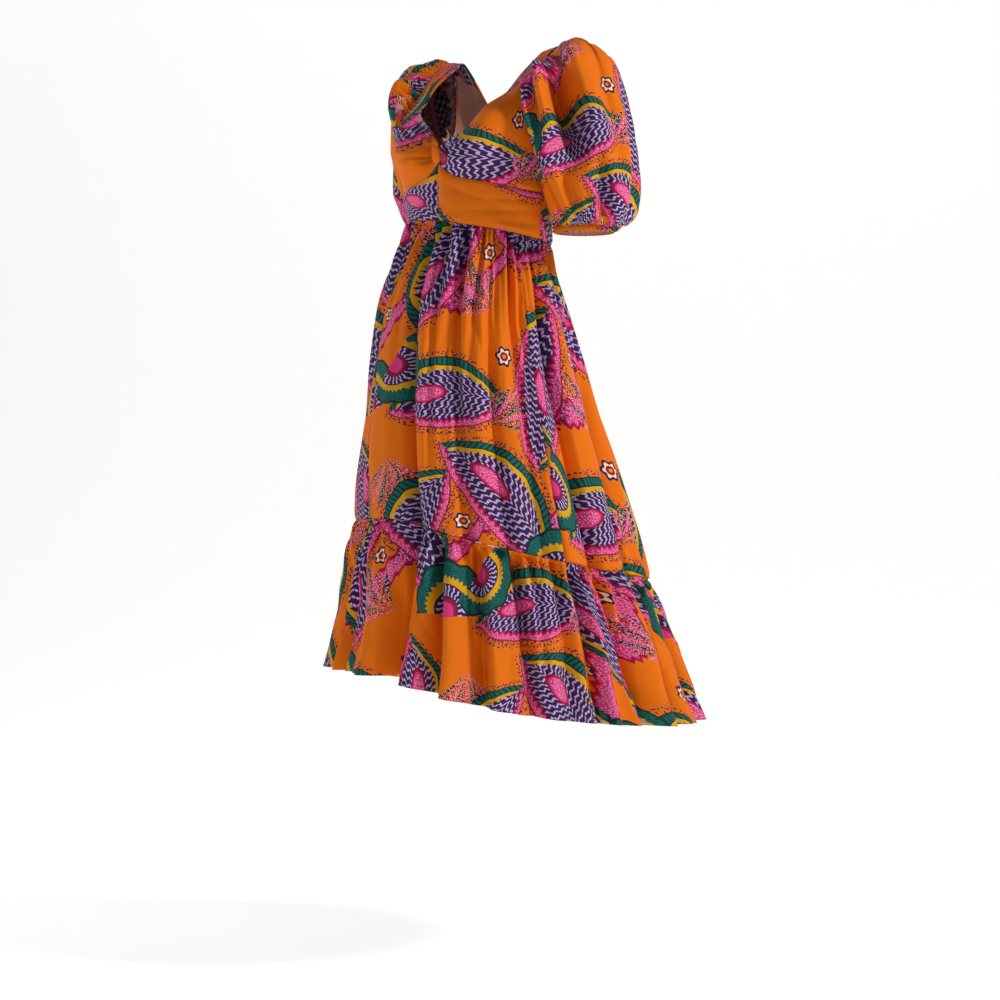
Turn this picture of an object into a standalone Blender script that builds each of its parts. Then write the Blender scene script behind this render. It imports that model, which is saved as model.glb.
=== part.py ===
"""Puff sleeve midi dress: every sewn piece as a thin closed wall, in its worn form.

Metres, +Z up. The front faces -Y and the left sleeve is at +X. The origin lies
midway between the two shoulder seams, from which the dress hangs. The tables
below are measured from a point over the middle of the waist instead, and each
finished piece is moved from there.
"""
from collections import namedtuple
import math

import bmesh
import bpy
from mathutils import Vector

SHOULDER_MIDDLE = Vector((0.0, 0.064, -0.006))

# Cloth and seams
WALL = 0.0018
SEAM_GAP = 0.0003
HALF_GAP = SEAM_GAP / 2

# Outline of the skirt and flounce: one row for each ring, from the top seam (0) to the lower edge (1)
Ring = namedtuple("Ring", "down half_width half_depth centre_y")
SKIRT_RINGS = [
    Ring(0.00, 0.1450, 0.1050, 0.000),
    Ring(0.06, 0.1570, 0.1190, 0.000),
    Ring(0.13, 0.1700, 0.1360, 0.000),
    Ring(0.25, 0.1870, 0.1620, 0.000),
    Ring(0.36, 0.2000, 0.1830, 0.006),
    Ring(0.60, 0.2240, 0.2210, 0.025),
    Ring(0.83, 0.2450, 0.2530, 0.047),
    Ring(1.00, 0.2580, 0.2730, 0.066),
]
FLOUNCE_RINGS = [
    Ring(0.00, 0.2580, 0.2730, 0.066),
    Ring(0.06, 0.2680, 0.2840, 0.069),
    Ring(0.20, 0.2820, 0.3020, 0.076),
    Ring(0.45, 0.3000, 0.3220, 0.087),
    Ring(0.72, 0.3150, 0.3410, 0.096),
    Ring(1.00, 0.3360, 0.3680, 0.104),
]

# Heights of the round seams and the hem, from the front (0 degrees) to the back (180)
Level = namedtuple("Level", "angle waist flounce hem")
LEVELS = [
    Level(0, -0.3110, -0.822, -1.085),
    Level(45, -0.3160, -0.848, -1.112),
    Level(90, -0.3270, -0.877, -1.128),
    Level(135, -0.3380, -0.903, -1.143),
    Level(180, -0.3430, -0.915, -1.150),
]
# The left hip is the lower one: height lost for each metre towards +X
SIDE_DROP = 0.13
# Below this height the middle of the skirt moves back, down to the hem
LEAN_START_Z = -0.45
LEAN_RUN = 0.65
HEM_CENTRE_Y = 0.104

# Vertical seams of the skirt, degrees from the front
SKIRT_SIDE = 68

# Largest folds, as soft valleys: places in degrees at the top and the lower edge, sizes in metres
Fold = namedtuple("Fold", "angle_top angle_low half_width depth_top depth_low")
SKIRT_FOLDS = [
    Fold(-5, 7, 6, 0.010, 0.024),
    Fold(24, 31, 6, 0.009, 0.012),
    Fold(43, 47, 5, 0.006, 0.009),
    Fold(58, 60, 5, 0.008, 0.012),
    Fold(78, 84, 7, 0.007, 0.024),
    Fold(101, 106, 7, 0.007, 0.020),
    Fold(122, 128, 7, 0.008, 0.026),
    Fold(146, 150, 6, 0.007, 0.020),
    Fold(168, 166, 6, 0.008, 0.022),
    Fold(189, 194, 7, 0.007, 0.026),
    Fold(210, 216, 7, 0.008, 0.020),
    Fold(234, 238, 6, 0.007, 0.024),
    Fold(256, 259, 7, 0.008, 0.018),
    Fold(277, 283, 7, 0.007, 0.022),
    Fold(301, 306, 6, 0.008, 0.016),
    Fold(326, 333, 7, 0.007, 0.014),
]

# The folds start from nothing at the waist, and ease at the hem
FOLD_RISE = 0.10
FOLD_EASE = 0.45

# Gathers and ruffle waves: how many go round, how deep they are, and the shares of the panel over which
# they grow from the seam (rise) and die away (run)
Gathers = namedtuple("Gathers", "count depth wander rise run")
WAIST_GATHERS = Gathers(36, 0.0026, 1.1, 0.05, 0.40)
RUFFLE_GATHERS = Gathers(42, 0.0042, 1.3, 0.10, 0.75)
HEM_WAVES = Gathers(25, 0.0125, 1.2, 0.90, 0.00)
CAP_GATHERS = Gathers(15, 0.0042, 0.6, 0.08, 0.35)
CUFF_TOP_GATHERS = Gathers(15, 0.0042, 0.6, 0.07, 0.30)
CUFF_GATHERS = 12
CUFF_GATHER_DEPTH = 0.0012
# What makes the waves uneven: drifts of their crests, and a change of their strength, round the body
Ripple = namedtuple("Ripple", "times start share")
CREST_DRIFTS = [
    Ripple(3, 0.7, 1.0),
    Ripple(7, 2.1, 0.7),
]
STRENGTH_CHANGE = Ripple(5, 1.3, 0.22)

# Cup seam under the bust, from the centre front (0 degrees) to the side (90)
Seam = namedtuple("Seam", "angle z")
CUP_SEAM = [
    Seam(0, -0.2100),
    Seam(6, -0.2270),
    Seam(15, -0.2385),
    Seam(37, -0.2494),
    Seam(59, -0.2600),
    Seam(90, -0.2680),
]
CUP_SEAM_HALF_WIDTH = 0.1500
CUP_SEAM_HALF_DEPTH = 0.1065
CUP_SEAM_CENTRE_Y = 0.0040
FLAT_FRONT = 0.86

# Edges of the bodice panels, from the lower seam (0) to the shoulder seam (1)
Edge = namedtuple("Edge", "up x y z")
ARMPIT_UP = 0.28
CUP_INNER = [
    Edge(0.00, 0.0000, -0.1025, -0.2100),
    Edge(0.10, 0.0000, -0.0990, -0.1870),
    Edge(0.28, 0.0430, -0.0740, -0.1520),
    Edge(0.45, 0.0740, -0.0690, -0.1230),
    Edge(0.62, 0.0970, -0.0300, -0.0910),
    Edge(0.80, 0.1005, 0.0020, -0.0570),
    Edge(0.92, 0.0980, 0.0370, -0.0280),
    Edge(1.00, 0.0955, 0.0640, -0.0090),
]
CUP_OUTER = [
    Edge(0.00, 0.1500, 0.0040, -0.2680),
    Edge(0.28, 0.1515, 0.0080, -0.2070),
    Edge(0.45, 0.1450, -0.0190, -0.1650),
    Edge(0.62, 0.1390, -0.0230, -0.1150),
    Edge(0.80, 0.1365, 0.0040, -0.0600),
    Edge(0.92, 0.1355, 0.0370, -0.0230),
    Edge(1.00, 0.1345, 0.0640, -0.0030),
]
BACK_ARMPIT_UP = 0.42
BACK_INNER = [
    Edge(0.00, 0.0000, 0.1050, -0.3430),
    Edge(0.20, 0.0000, 0.1090, -0.2750),
    Edge(0.42, 0.0000, 0.1170, -0.2000),
    Edge(0.56, 0.0000, 0.1230, -0.1500),
    Edge(0.61, 0.0270, 0.1235, -0.1470),
    Edge(0.67, 0.0460, 0.1220, -0.1350),
    Edge(0.76, 0.0640, 0.1170, -0.1110),
    Edge(0.88, 0.0860, 0.0980, -0.0580),
    Edge(1.00, 0.0955, 0.0646, -0.0090),
]
BACK_OUTER = [
    Edge(0.00, 0.1450, 0.0000, -0.3270),
    Edge(0.21, 0.1500, 0.0040, -0.2680),
    Edge(0.42, 0.1515, 0.0080, -0.2070),
    Edge(0.56, 0.1460, 0.0560, -0.1720),
    Edge(0.74, 0.1410, 0.0860, -0.1130),
    Edge(0.88, 0.1370, 0.0840, -0.0480),
    Edge(1.00, 0.1345, 0.0646, -0.0030),
]

# Cups: a forward swell over each half of the front, drawn in to the knot
CUP_SWELL = 0.046
CUP_SWELL_ACROSS = 0.25
CUP_SWELL_UP = 0.22
CUP_FORWARD = Vector((0.10, -0.99, 0.0))
CUP_GATHERS = 4
CUP_GATHER_DEPTH = 0.0024
CUP_GATHER_START = 0.030
CUP_GATHER_RUN = 0.060
CUP_GATHER_ACROSS = 0.08
CUP_GATHER_UP = 0.05
# Panel shares to metres near the knot
CUP_WIDTH = 3.0
CUP_HEIGHT = 2.2
KNOT_CENTRE = Vector((0.0, -0.1010, -0.1990))
KNOT_RADIUS = 0.012
KNOT_CLEAR = 0.030
KNOT_SIZE = Vector((0.0105, 0.0060, 0.0150))
KNOT_PROUD = 0.0040
KNOT_LEAN = 0.13
KNOT_SEGMENTS = 16
KNOT_RINGS = 10

# The inside of the bodice lies behind the cloth at the chest, and under it at the shoulder
SHOULDER_START_Z = -0.10
SHOULDER_RISE = 0.09
SHOULDER_LEAN = 0.86
CHEST_CENTRE_Y = 0.010
SHOULDER_CENTRE_Y = 0.050

# Puff sleeves: round the armhole (0 armpit, 0.25 front, 0.5 shoulder, 0.75 back)
Puff = namedtuple("Puff", "round reach lift")
PUFF_ROUND = [
    Puff(0.00, 0.000, 0.000),
    Puff(0.12, 0.022, 0.006),
    Puff(0.25, 0.046, 0.028),
    Puff(0.37, 0.074, 0.026),
    Puff(0.50, 0.096, 0.010),
    Puff(0.63, 0.082, 0.028),
    Puff(0.75, 0.056, 0.030),
    Puff(0.88, 0.026, 0.008),
    Puff(1.00, 0.000, 0.000),
]
# and along the sleeve, from the armhole (0) to the cuff (1)
Drape = namedtuple("Drape", "along drop out rise")
PUFF_ALONG = [
    Drape(0.00, 0.00, 0.00, 0.00),
    Drape(0.07, -0.01, 0.32, 0.62),
    Drape(0.16, 0.01, 0.66, 1.00),
    Drape(0.30, 0.13, 0.95, 0.78),
    Drape(0.46, 0.37, 1.02, 0.24),
    Drape(0.63, 0.66, 0.89, 0.00),
    Drape(0.78, 0.91, 0.60, 0.00),
    Drape(0.90, 1.01, 0.29, 0.00),
    Drape(0.97, 1.02, 0.10, 0.00),
    Drape(1.00, 1.00, 0.00, 0.00),
]
PuffFold = namedtuple("PuffFold", "round half_width depth start end")
PUFF_FOLDS = [
    PuffFold(0.31, 0.030, 0.020, 0.06, 0.62),
    PuffFold(0.42, 0.026, 0.010, 0.10, 0.70),
    PuffFold(0.20, 0.026, 0.012, 0.25, 0.95),
    PuffFold(0.56, 0.028, 0.011, 0.30, 0.98),
    PuffFold(0.67, 0.030, 0.014, 0.08, 0.66),
    PuffFold(0.80, 0.028, 0.012, 0.30, 0.96),
]
CUFF_CENTRE = Vector((0.2060, 0.0430, -0.3260))
CUFF_RADIUS = 0.0475
CUFF_HEIGHT = 0.0120
CUFF_FLARE = 0.0015
OFF_BODY = 0.22
ARMPIT_PLAIN = 0.16
SLEEVE_TOP_CENTRE = Vector((0.1800, 0.0420, -0.0800))
SLEEVE_LOW_CENTRE = Vector((0.2060, 0.0430, -0.3000))
# The right sleeve swings back
RIGHT_SWING = Vector((0.0, 0.1120, 0.0120))

# Rough runs of the panels between their seams, for the width of the seam gaps as a share
Run = namedtuple("Run", "across along")
SKIRT_RUN = Run(0.25, 0.55)
FLOUNCE_RUN = Run(0.60, 0.26)
MIDRIFF_RUN = Run(0.20, 0.06)
CUP_RUN = Run(0.12, 0.10)
BACK_RUN = Run(0.15, 0.34)
SLEEVE_RUN = 0.30
SAME_PLACE = 1e-6

# Grid counts
SKIRT_COLUMNS = 144
SKIRT_ROWS = 7
FLOUNCE_COLUMNS = 168
FLOUNCE_ROWS = 6
MIDRIFF_COLUMNS = 10
MIDRIFF_ROWS = 3
CUP_LOW_ROWS = 4
ARMHOLE_ROWS = 9
BACK_LOW_ROWS = 5
BACK_COLUMNS = 9
SLEEVE_STEPS = 3
SLEEVE_ROWS = 8
CUFF_COLUMNS = 36
CUFF_ROWS = 2

ORANGE = (0.83, 0.26, 0.02, 1.0)
PLUM = (0.20, 0.06, 0.22, 1.0)
CLOTH_ROUGHNESS = 0.75


def clamp(value, low, high):
    return max(low, min(high, value))


def mix(a, b, share):
    return a + (b - a) * share


def soft_step(value):
    value = clamp(value, 0.0, 1.0)
    return value * value * (3 - 2 * value)


def slope(rows, key, column, i):
    """Slope of a column at row i that never overshoots its neighbours."""
    if i == 0 or i == len(rows) - 1:
        near = 1 if i == 0 else i - 1
        return (getattr(rows[near], column) - getattr(rows[i], column)) / (
            getattr(rows[near], key) - getattr(rows[i], key))
    before, here, after = rows[i - 1], rows[i], rows[i + 1]
    left = (getattr(here, column) - getattr(before, column)) / (getattr(here, key) - getattr(before, key))
    right = (getattr(after, column) - getattr(here, column)) / (getattr(after, key) - getattr(here, key))
    if left * right <= 0:
        return 0.0
    return 2 * left * right / (left + right)


def read(rows, column, at):
    """Smooth value of a column at a place along the table's first column."""
    key = rows[0]._fields[0]
    at = clamp(at, getattr(rows[0], key), getattr(rows[-1], key))
    i = 0
    while i < len(rows) - 2 and at > getattr(rows[i + 1], key):
        i += 1
    start, end = getattr(rows[i], key), getattr(rows[i + 1], key)
    run = end - start
    t = (at - start) / run
    a, b = getattr(rows[i], column), getattr(rows[i + 1], column)
    slope_a = slope(rows, key, column, i) * run
    slope_b = slope(rows, key, column, i + 1) * run
    return (a * (2 * t**3 - 3 * t**2 + 1) + slope_a * (t**3 - 2 * t**2 + t)
            + b * (3 * t**2 - 2 * t**3) + slope_b * (t**3 - t**2))


def edge_point(rows, up):
    return Vector((read(rows, "x", up), read(rows, "y", up), read(rows, "z", up)))


def outer_edge(rows, armpit_up, up):
    """Place on a panel's outer edge: straight stretches up the side seam, then the curved armhole."""
    if up > armpit_up:
        return edge_point([row for row in rows if row.up >= armpit_up], up)
    i = 0
    while up > rows[i + 1].up:
        i += 1
    share = (up - rows[i].up) / (rows[i + 1].up - rows[i].up)
    return mix(Vector(rows[i][1:]), Vector(rows[i + 1][1:]), share)


def level(name, angle):
    """Height of a round seam, before the side drop, at an angle in degrees from the front."""
    turn = abs((angle + 180) % 360 - 180)
    return read(LEVELS, name, turn)


def uneven_wave(angle, gathers):
    """Wave of -1 to 1 round the body whose crests stand unevenly."""
    turn = math.radians(angle)
    phase = gathers.count * turn
    for drift in CREST_DRIFTS:
        phase += gathers.wander * drift.share * math.sin(drift.times * turn + drift.start)
    change = STRENGTH_CHANGE
    strength = 1 - change.share + change.share * math.sin(change.times * turn + change.start)
    return strength * math.sin(phase)


def growth(gathers, share):
    """How much of the gathers shows at a share of the panel from their seam."""
    return soft_step(share / gathers.rise) * (1 - soft_step((share - gathers.rise) / gathers.run))


def valley(angle, centre, half_width):
    """Depth share of a soft valley: 1 on its line, 0 from twice the half width on."""
    away = abs((angle - centre + 180) % 360 - 180) / (2 * half_width)
    return (math.cos(math.pi * away) + 1) / 2 if away < 1 else 0.0


def main_folds(angle, down):
    """Depth of the main skirt folds at a place between the waist and the flounce seam."""
    total = 0.0
    for fold in SKIRT_FOLDS:
        centre = mix(fold.angle_top, fold.angle_low, down)
        depth = mix(fold.depth_top, fold.depth_low, down) * soft_step(down / FOLD_RISE)
        total += depth * valley(angle, centre, fold.half_width)
    return total


def ring_place(rings, angle, down, moved_in, z):
    turn = math.radians(angle)
    half_width = read(rings, "half_width", down)
    half_depth = read(rings, "half_depth", down)
    drop = SIDE_DROP * half_width * math.sin(turn)
    return Vector(((half_width - moved_in) * math.sin(turn),
                   read(rings, "centre_y", down) - (half_depth - moved_in) * math.cos(turn),
                   z - drop))


def skirt_point(angle, down):
    gathers = WAIST_GATHERS
    moved_in = main_folds(angle, down)
    moved_in += gathers.depth * growth(gathers, down) * (1 + uneven_wave(angle, gathers))
    z = mix(level("waist", angle), level("flounce", angle), down)
    return ring_place(SKIRT_RINGS, angle, down, moved_in, z)


def flounce_point(angle, down):
    gathers, waves = RUFFLE_GATHERS, HEM_WAVES
    moved_in = main_folds(angle, 1.0) * (1 - FOLD_EASE * soft_step(down))
    moved_in += gathers.depth * growth(gathers, down) * (1 + uneven_wave(angle, gathers))
    moved_in += waves.depth * soft_step(down / waves.rise) * (1 + uneven_wave(angle, waves))
    z = mix(level("flounce", angle), level("hem", angle), down)
    return ring_place(FLOUNCE_RINGS, angle, down, moved_in, z)


def waist_point(angle):
    return ring_place(SKIRT_RINGS, angle, 0.0, 0.0, level("waist", angle))


def cup_seam_point(angle):
    turn = math.radians(angle)
    forward = max(math.cos(turn), 0.0) ** FLAT_FRONT
    return Vector((CUP_SEAM_HALF_WIDTH * math.sin(turn),
                   CUP_SEAM_CENTRE_Y - CUP_SEAM_HALF_DEPTH * forward,
                   read(CUP_SEAM, "z", angle)))


def midriff_point(side, across, up):
    """A place on a front midriff panel: across from the centre front (0) to the side seam (1)."""
    low = waist_point(side * 90 * across)
    high = cup_seam_point(90 * across)
    high.x *= side
    return mix(low, high, up)


def spanned(low, high, inner, outer, across, up):
    """Place on a panel spanned between its four edges."""
    ruled = mix(low(across), high(across), up) + mix(inner(up), outer(up), across)
    corners = mix(mix(low(0), low(1), across), mix(high(0), high(1), across), up)
    return ruled - corners


def cup_point(side, across, up):
    """A place on a cup panel: across from the neck edge (0) to the armhole (1)."""
    def low(share):
        return cup_seam_point(90 * share)

    def high(share):
        return mix(edge_point(CUP_INNER, 1), edge_point(CUP_OUTER, 1), share)

    def inner(share):
        return edge_point(CUP_INNER, share)

    def outer(share):
        return outer_edge(CUP_OUTER, ARMPIT_UP, share)

    point = spanned(low, high, inner, outer, across, up)
    knot_distance = (point - KNOT_CENTRE).length
    clear = soft_step((knot_distance - KNOT_RADIUS) / KNOT_CLEAR)
    peak = CUP_SWELL_ACROSS
    swell = across / peak * ((1 - across) / (1 - peak)) ** ((1 - peak) / peak)
    swell *= (up / CUP_SWELL_UP * math.exp(1 - up / CUP_SWELL_UP)) ** 2
    point += CUP_FORWARD * CUP_SWELL * swell * clear
    bearing = math.atan2(up * CUP_HEIGHT, across * CUP_WIDTH)
    ripple = math.sin(2 * CUP_GATHERS * bearing)
    fade = clear * (1 - soft_step((knot_distance - CUP_GATHER_START) / CUP_GATHER_RUN))
    fade *= clamp(up / CUP_GATHER_UP, 0, 1) * clamp(across / CUP_GATHER_ACROSS, 0, 1)
    point += CUP_FORWARD * CUP_GATHER_DEPTH * ripple * fade
    point.x *= side
    return point


def back_point(side, across, up):
    """A place on a back panel: across from the centre back or neck edge (0) to the side or armhole (1)."""
    def low(share):
        point = waist_point(side * (180 - 90 * share))
        point.x *= side
        return point

    def high(share):
        return mix(edge_point(BACK_INNER, 1), edge_point(BACK_OUTER, 1), share)

    def inner(share):
        return edge_point(BACK_INNER, share)

    def outer(share):
        point = outer_edge(BACK_OUTER, BACK_ARMPIT_UP, share)
        drop = 1 - clamp(share / BACK_OUTER[1].up, 0, 1)
        point.z -= side * SIDE_DROP * point.x * drop
        return point

    point = spanned(low, high, inner, outer, across, up)
    point.x *= side
    return point


def split_share(share, low_rows, all_rows, split):
    """Grid share to panel share, so that one row of the grid lies at the armpit."""
    low_share = low_rows / all_rows
    if share <= low_share:
        return split * share / low_share
    return split + (1 - split) * (share - low_share) / (1 - low_share)


def bodice_inward(point):
    """Direction from the cloth to the inside of the bodice: level at the chest, down at the shoulder."""
    rise = soft_step((point.z - SHOULDER_START_Z) / SHOULDER_RISE)
    centre_y = mix(CHEST_CENTRE_Y, SHOULDER_CENTRE_Y, rise)
    centre = Vector((point.x * SHOULDER_LEAN * rise, centre_y, min(point.z, SHOULDER_START_Z)))
    return (centre - point).normalized()


def level_inward(point):
    """Level direction from the cloth of the skirt to the middle of the body."""
    lean = soft_step((LEAN_START_Z - point.z) / LEAN_RUN)
    centre = Vector((0.0, HEM_CENTRE_Y * lean, point.z))
    return (centre - point).normalized()


def armhole(side):
    """Corners of the armhole edge, from the armpit up the front and down the back."""
    corners = []
    for i in range(ARMHOLE_ROWS + 1):
        up = mix(ARMPIT_UP, 1.0, i / ARMHOLE_ROWS)
        corners.append(cup_point(side, 1.0, up))
    for i in range(1, ARMHOLE_ROWS + 1):
        up = mix(1.0, BACK_ARMPIT_UP, i / ARMHOLE_ROWS)
        corners.append(back_point(side, 1.0, up))
    return corners


def cuff_centre(side):
    centre = Vector((side * CUFF_CENTRE.x, CUFF_CENTRE.y, CUFF_CENTRE.z))
    if side < 0:
        centre += RIGHT_SWING
    return centre


def cuff_direction(side, share):
    turn = 2 * math.pi * share
    return Vector((-side * math.cos(turn), -math.sin(turn), 0.0))


def puff_direction(side, share):
    """Level direction in which the puff swells: never towards the body."""
    direction = cuff_direction(side, share)
    direction.x = side * max(side * direction.x, OFF_BODY)
    return direction


def sleeve_point(side, corners, share, along):
    """A place on a puff sleeve: share of the way round, and along from armhole to cuff."""
    place = share * (len(corners) - 1)
    i = min(int(place), len(corners) - 2)
    start = mix(corners[i], corners[i + 1], place - i)
    direction = puff_direction(side, share)
    end = cuff_centre(side) + cuff_direction(side, share) * CUFF_RADIUS
    reach = read(PUFF_ROUND, "reach", share)
    out = reach * read(PUFF_ALONG, "out", along)
    gathers = CAP_GATHERS.depth * growth(CAP_GATHERS, along)
    gathers += CUFF_TOP_GATHERS.depth * growth(CUFF_TOP_GATHERS, 1 - along)
    gathers *= uneven_wave(360 * share, CAP_GATHERS) * soft_step(min(share, 1 - share) / ARMPIT_PLAIN)
    folds = 0.0
    for fold in PUFF_FOLDS:
        middle = (along - fold.start) / (fold.end - fold.start)
        if 0 < middle < 1:
            away = abs(share - fold.round) / (2 * fold.half_width)
            if away < 1:
                folds += fold.depth * math.sin(math.pi * middle) * (math.cos(math.pi * away) + 1) / 2
    point = mix(start, end, read(PUFF_ALONG, "drop", along))
    point += direction * (out + gathers - folds)
    point.z += read(PUFF_ROUND, "lift", share) * read(PUFF_ALONG, "rise", along)
    point.x += side * SEAM_GAP * 2 * (1 - along)
    return point


def sleeve_inward(side):
    def inward(point):
        z = clamp(point.z, SLEEVE_LOW_CENTRE.z, SLEEVE_TOP_CENTRE.z)
        share = (SLEEVE_TOP_CENTRE.z - z) / (SLEEVE_TOP_CENTRE.z - SLEEVE_LOW_CENTRE.z)
        centre = mix(SLEEVE_TOP_CENTRE, SLEEVE_LOW_CENTRE, share)
        centre.x *= side
        if side < 0:
            centre += RIGHT_SWING * share
        centre.z = z
        return (centre - point).normalized()
    return inward


def cuff_point(side, share, down):
    ripple = 0.5 + 0.5 * math.sin(2 * math.pi * CUFF_GATHERS * share)
    radius = CUFF_RADIUS + down * (CUFF_FLARE + CUFF_GATHER_DEPTH * ripple)
    point = cuff_centre(side) + cuff_direction(side, share) * radius
    point.z -= SEAM_GAP + CUFF_HEIGHT * down
    return point


def cuff_inward(side):
    def inward(point):
        centre = cuff_centre(side)
        centre.z = point.z
        return (centre - point).normalized()
    return inward


def new_material(name, colour):
    material = bpy.data.materials.new(name)
    material.use_nodes = True
    shader = material.node_tree.nodes["Principled BSDF"]
    shader.inputs["Base Color"].default_value = colour
    shader.inputs["Roughness"].default_value = CLOTH_ROUGHNESS
    shader.inputs["Metallic"].default_value = 0.0
    return material


def finish(name, mesh_data, collection, colour):
    bmesh.ops.translate(mesh_data, verts=mesh_data.verts, vec=-SHOULDER_MIDDLE)
    mesh = bpy.data.meshes.new(name)
    mesh_data.to_mesh(mesh)
    mesh_data.free()
    mesh.shade_smooth()
    piece = bpy.data.objects.new(name, mesh)
    piece.data.materials.append(new_material(name + "_cloth", colour))
    collection.objects.link(piece)
    return piece


def cloth_wall(name, collection, columns, rows, place, inward, wall=WALL, colour=ORANGE):
    """One sewn piece: a grid laid on the cloth's outer face, then given its wall on the inside."""
    cloth = bmesh.new()
    bmesh.ops.create_grid(cloth, x_segments=columns, y_segments=rows, size=0.5)
    for vertex in cloth.verts:
        vertex.co = place(vertex.co.x + 0.5, vertex.co.y + 0.5)
    bmesh.ops.remove_doubles(cloth, verts=cloth.verts, dist=SAME_PLACE)
    grown = bmesh.ops.extrude_face_region(cloth, geom=cloth.faces[:], use_keep_orig=True)
    for vertex in [item for item in grown["geom"] if isinstance(item, bmesh.types.BMVert)]:
        vertex.co = vertex.co + inward(vertex.co) * wall
    bmesh.ops.recalc_face_normals(cloth, faces=cloth.faces)
    return finish(name, cloth, collection, colour)


def inset(share, length):
    """Grid share moved in by half the seam gap at both ends of a run of this length."""
    edge = HALF_GAP / length
    return mix(edge, 1 - edge, share)


def make_skirt(collection):
    panels = [
        ("skirt_front", -SKIRT_SIDE, SKIRT_SIDE),
        ("skirt_back_left", SKIRT_SIDE, 180),
        ("skirt_back_right", 180, 360 - SKIRT_SIDE),
    ]
    for name, start, end in panels:
        def place(u, v, start=start, end=end):
            return skirt_point(mix(start, end, inset(u, SKIRT_RUN.across)), inset(v, SKIRT_RUN.along))
        columns = round(SKIRT_COLUMNS * (end - start) / 360)
        cloth_wall(name, collection, columns, SKIRT_ROWS, place, level_inward)


def make_flounce(collection):
    panels = [
        ("flounce_front", -SKIRT_SIDE, SKIRT_SIDE),
        ("flounce_back", SKIRT_SIDE, 360 - SKIRT_SIDE),
    ]
    for name, start, end in panels:
        def place(u, v, start=start, end=end):
            edge = HALF_GAP / FLOUNCE_RUN.along
            return flounce_point(mix(start, end, inset(u, FLOUNCE_RUN.across)), mix(edge, 1.0, v))
        columns = round(FLOUNCE_COLUMNS * (end - start) / 360)
        cloth_wall(name, collection, columns, FLOUNCE_ROWS, place, level_inward)


def make_bodice(collection, side, label):
    def midriff(u, v):
        return midriff_point(side, inset(u, MIDRIFF_RUN.across), inset(v, MIDRIFF_RUN.along))

    def cup(u, v):
        up = split_share(v, CUP_LOW_ROWS, CUP_LOW_ROWS + ARMHOLE_ROWS, ARMPIT_UP)
        edge = HALF_GAP / CUP_RUN.along
        return cup_point(side, inset(u, CUP_RUN.across), mix(2 * edge, 1 - edge, up))

    def back(u, v):
        up = split_share(v, BACK_LOW_ROWS, BACK_LOW_ROWS + ARMHOLE_ROWS, BACK_ARMPIT_UP)
        edge = HALF_GAP / BACK_RUN.along
        return back_point(side, inset(u, BACK_RUN.across), mix(edge, 1 - edge, up))

    cloth_wall("midriff_" + label, collection, MIDRIFF_COLUMNS, MIDRIFF_ROWS, midriff, bodice_inward)
    cup_rows = CUP_LOW_ROWS + ARMHOLE_ROWS
    back_rows = BACK_LOW_ROWS + ARMHOLE_ROWS
    cloth_wall("front_cup_" + label, collection, MIDRIFF_COLUMNS, cup_rows, cup, bodice_inward)
    cloth_wall("back_bodice_" + label, collection, BACK_COLUMNS, back_rows, back, bodice_inward)


def make_sleeve(collection, side, label):
    corners = armhole(side)

    def sleeve(u, v):
        edge = HALF_GAP / SLEEVE_RUN
        return sleeve_point(side, corners, u % 1.0, mix(0.0, 1 - edge, v))

    def cuff(u, v):
        return cuff_point(side, u % 1.0, v)

    columns = (len(corners) - 1) * SLEEVE_STEPS
    cloth_wall("sleeve_" + label, collection, columns, SLEEVE_ROWS, sleeve, sleeve_inward(side))
    cloth_wall("cuff_" + label, collection, CUFF_COLUMNS, CUFF_ROWS, cuff, cuff_inward(side))


def make_knot(collection):
    knot = bmesh.new()
    bmesh.ops.create_uvsphere(knot, u_segments=KNOT_SEGMENTS, v_segments=KNOT_RINGS, radius=1.0)
    for vertex in knot.verts:
        flat = Vector((vertex.co.x * KNOT_SIZE.x, 0.0, vertex.co.z * KNOT_SIZE.z))
        forward = max(-vertex.co.y, 0.0) * KNOT_SIZE.y
        back = -KNOT_PROUD - KNOT_LEAN * flat.z
        vertex.co = KNOT_CENTRE + flat + Vector((0.0, back - forward, 0.0))
    bmesh.ops.recalc_face_normals(knot, faces=knot.faces)
    return finish("centre_knot", knot, collection, PLUM)


def main():
    for old in list(bpy.data.objects):
        bpy.data.objects.remove(old)
    collection = bpy.data.collections.new("puff_sleeve_midi_dress")
    bpy.context.scene.collection.children.link(collection)
    make_skirt(collection)
    make_flounce(collection)
    for side, label in ((1, "left"), (-1, "right")):
        make_bodice(collection, side, label)
        make_sleeve(collection, side, label)
    make_knot(collection)


main()
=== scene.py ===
# Puff sleeve midi dress in printed cotton poplin, worn form, seen from its front left.
# Metres, +Z up; the front faces -Y and the left sleeve is at +X.
import math
from collections import namedtuple

import bmesh
import bpy
import numpy as np
from mathutils import Matrix, Vector


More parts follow.
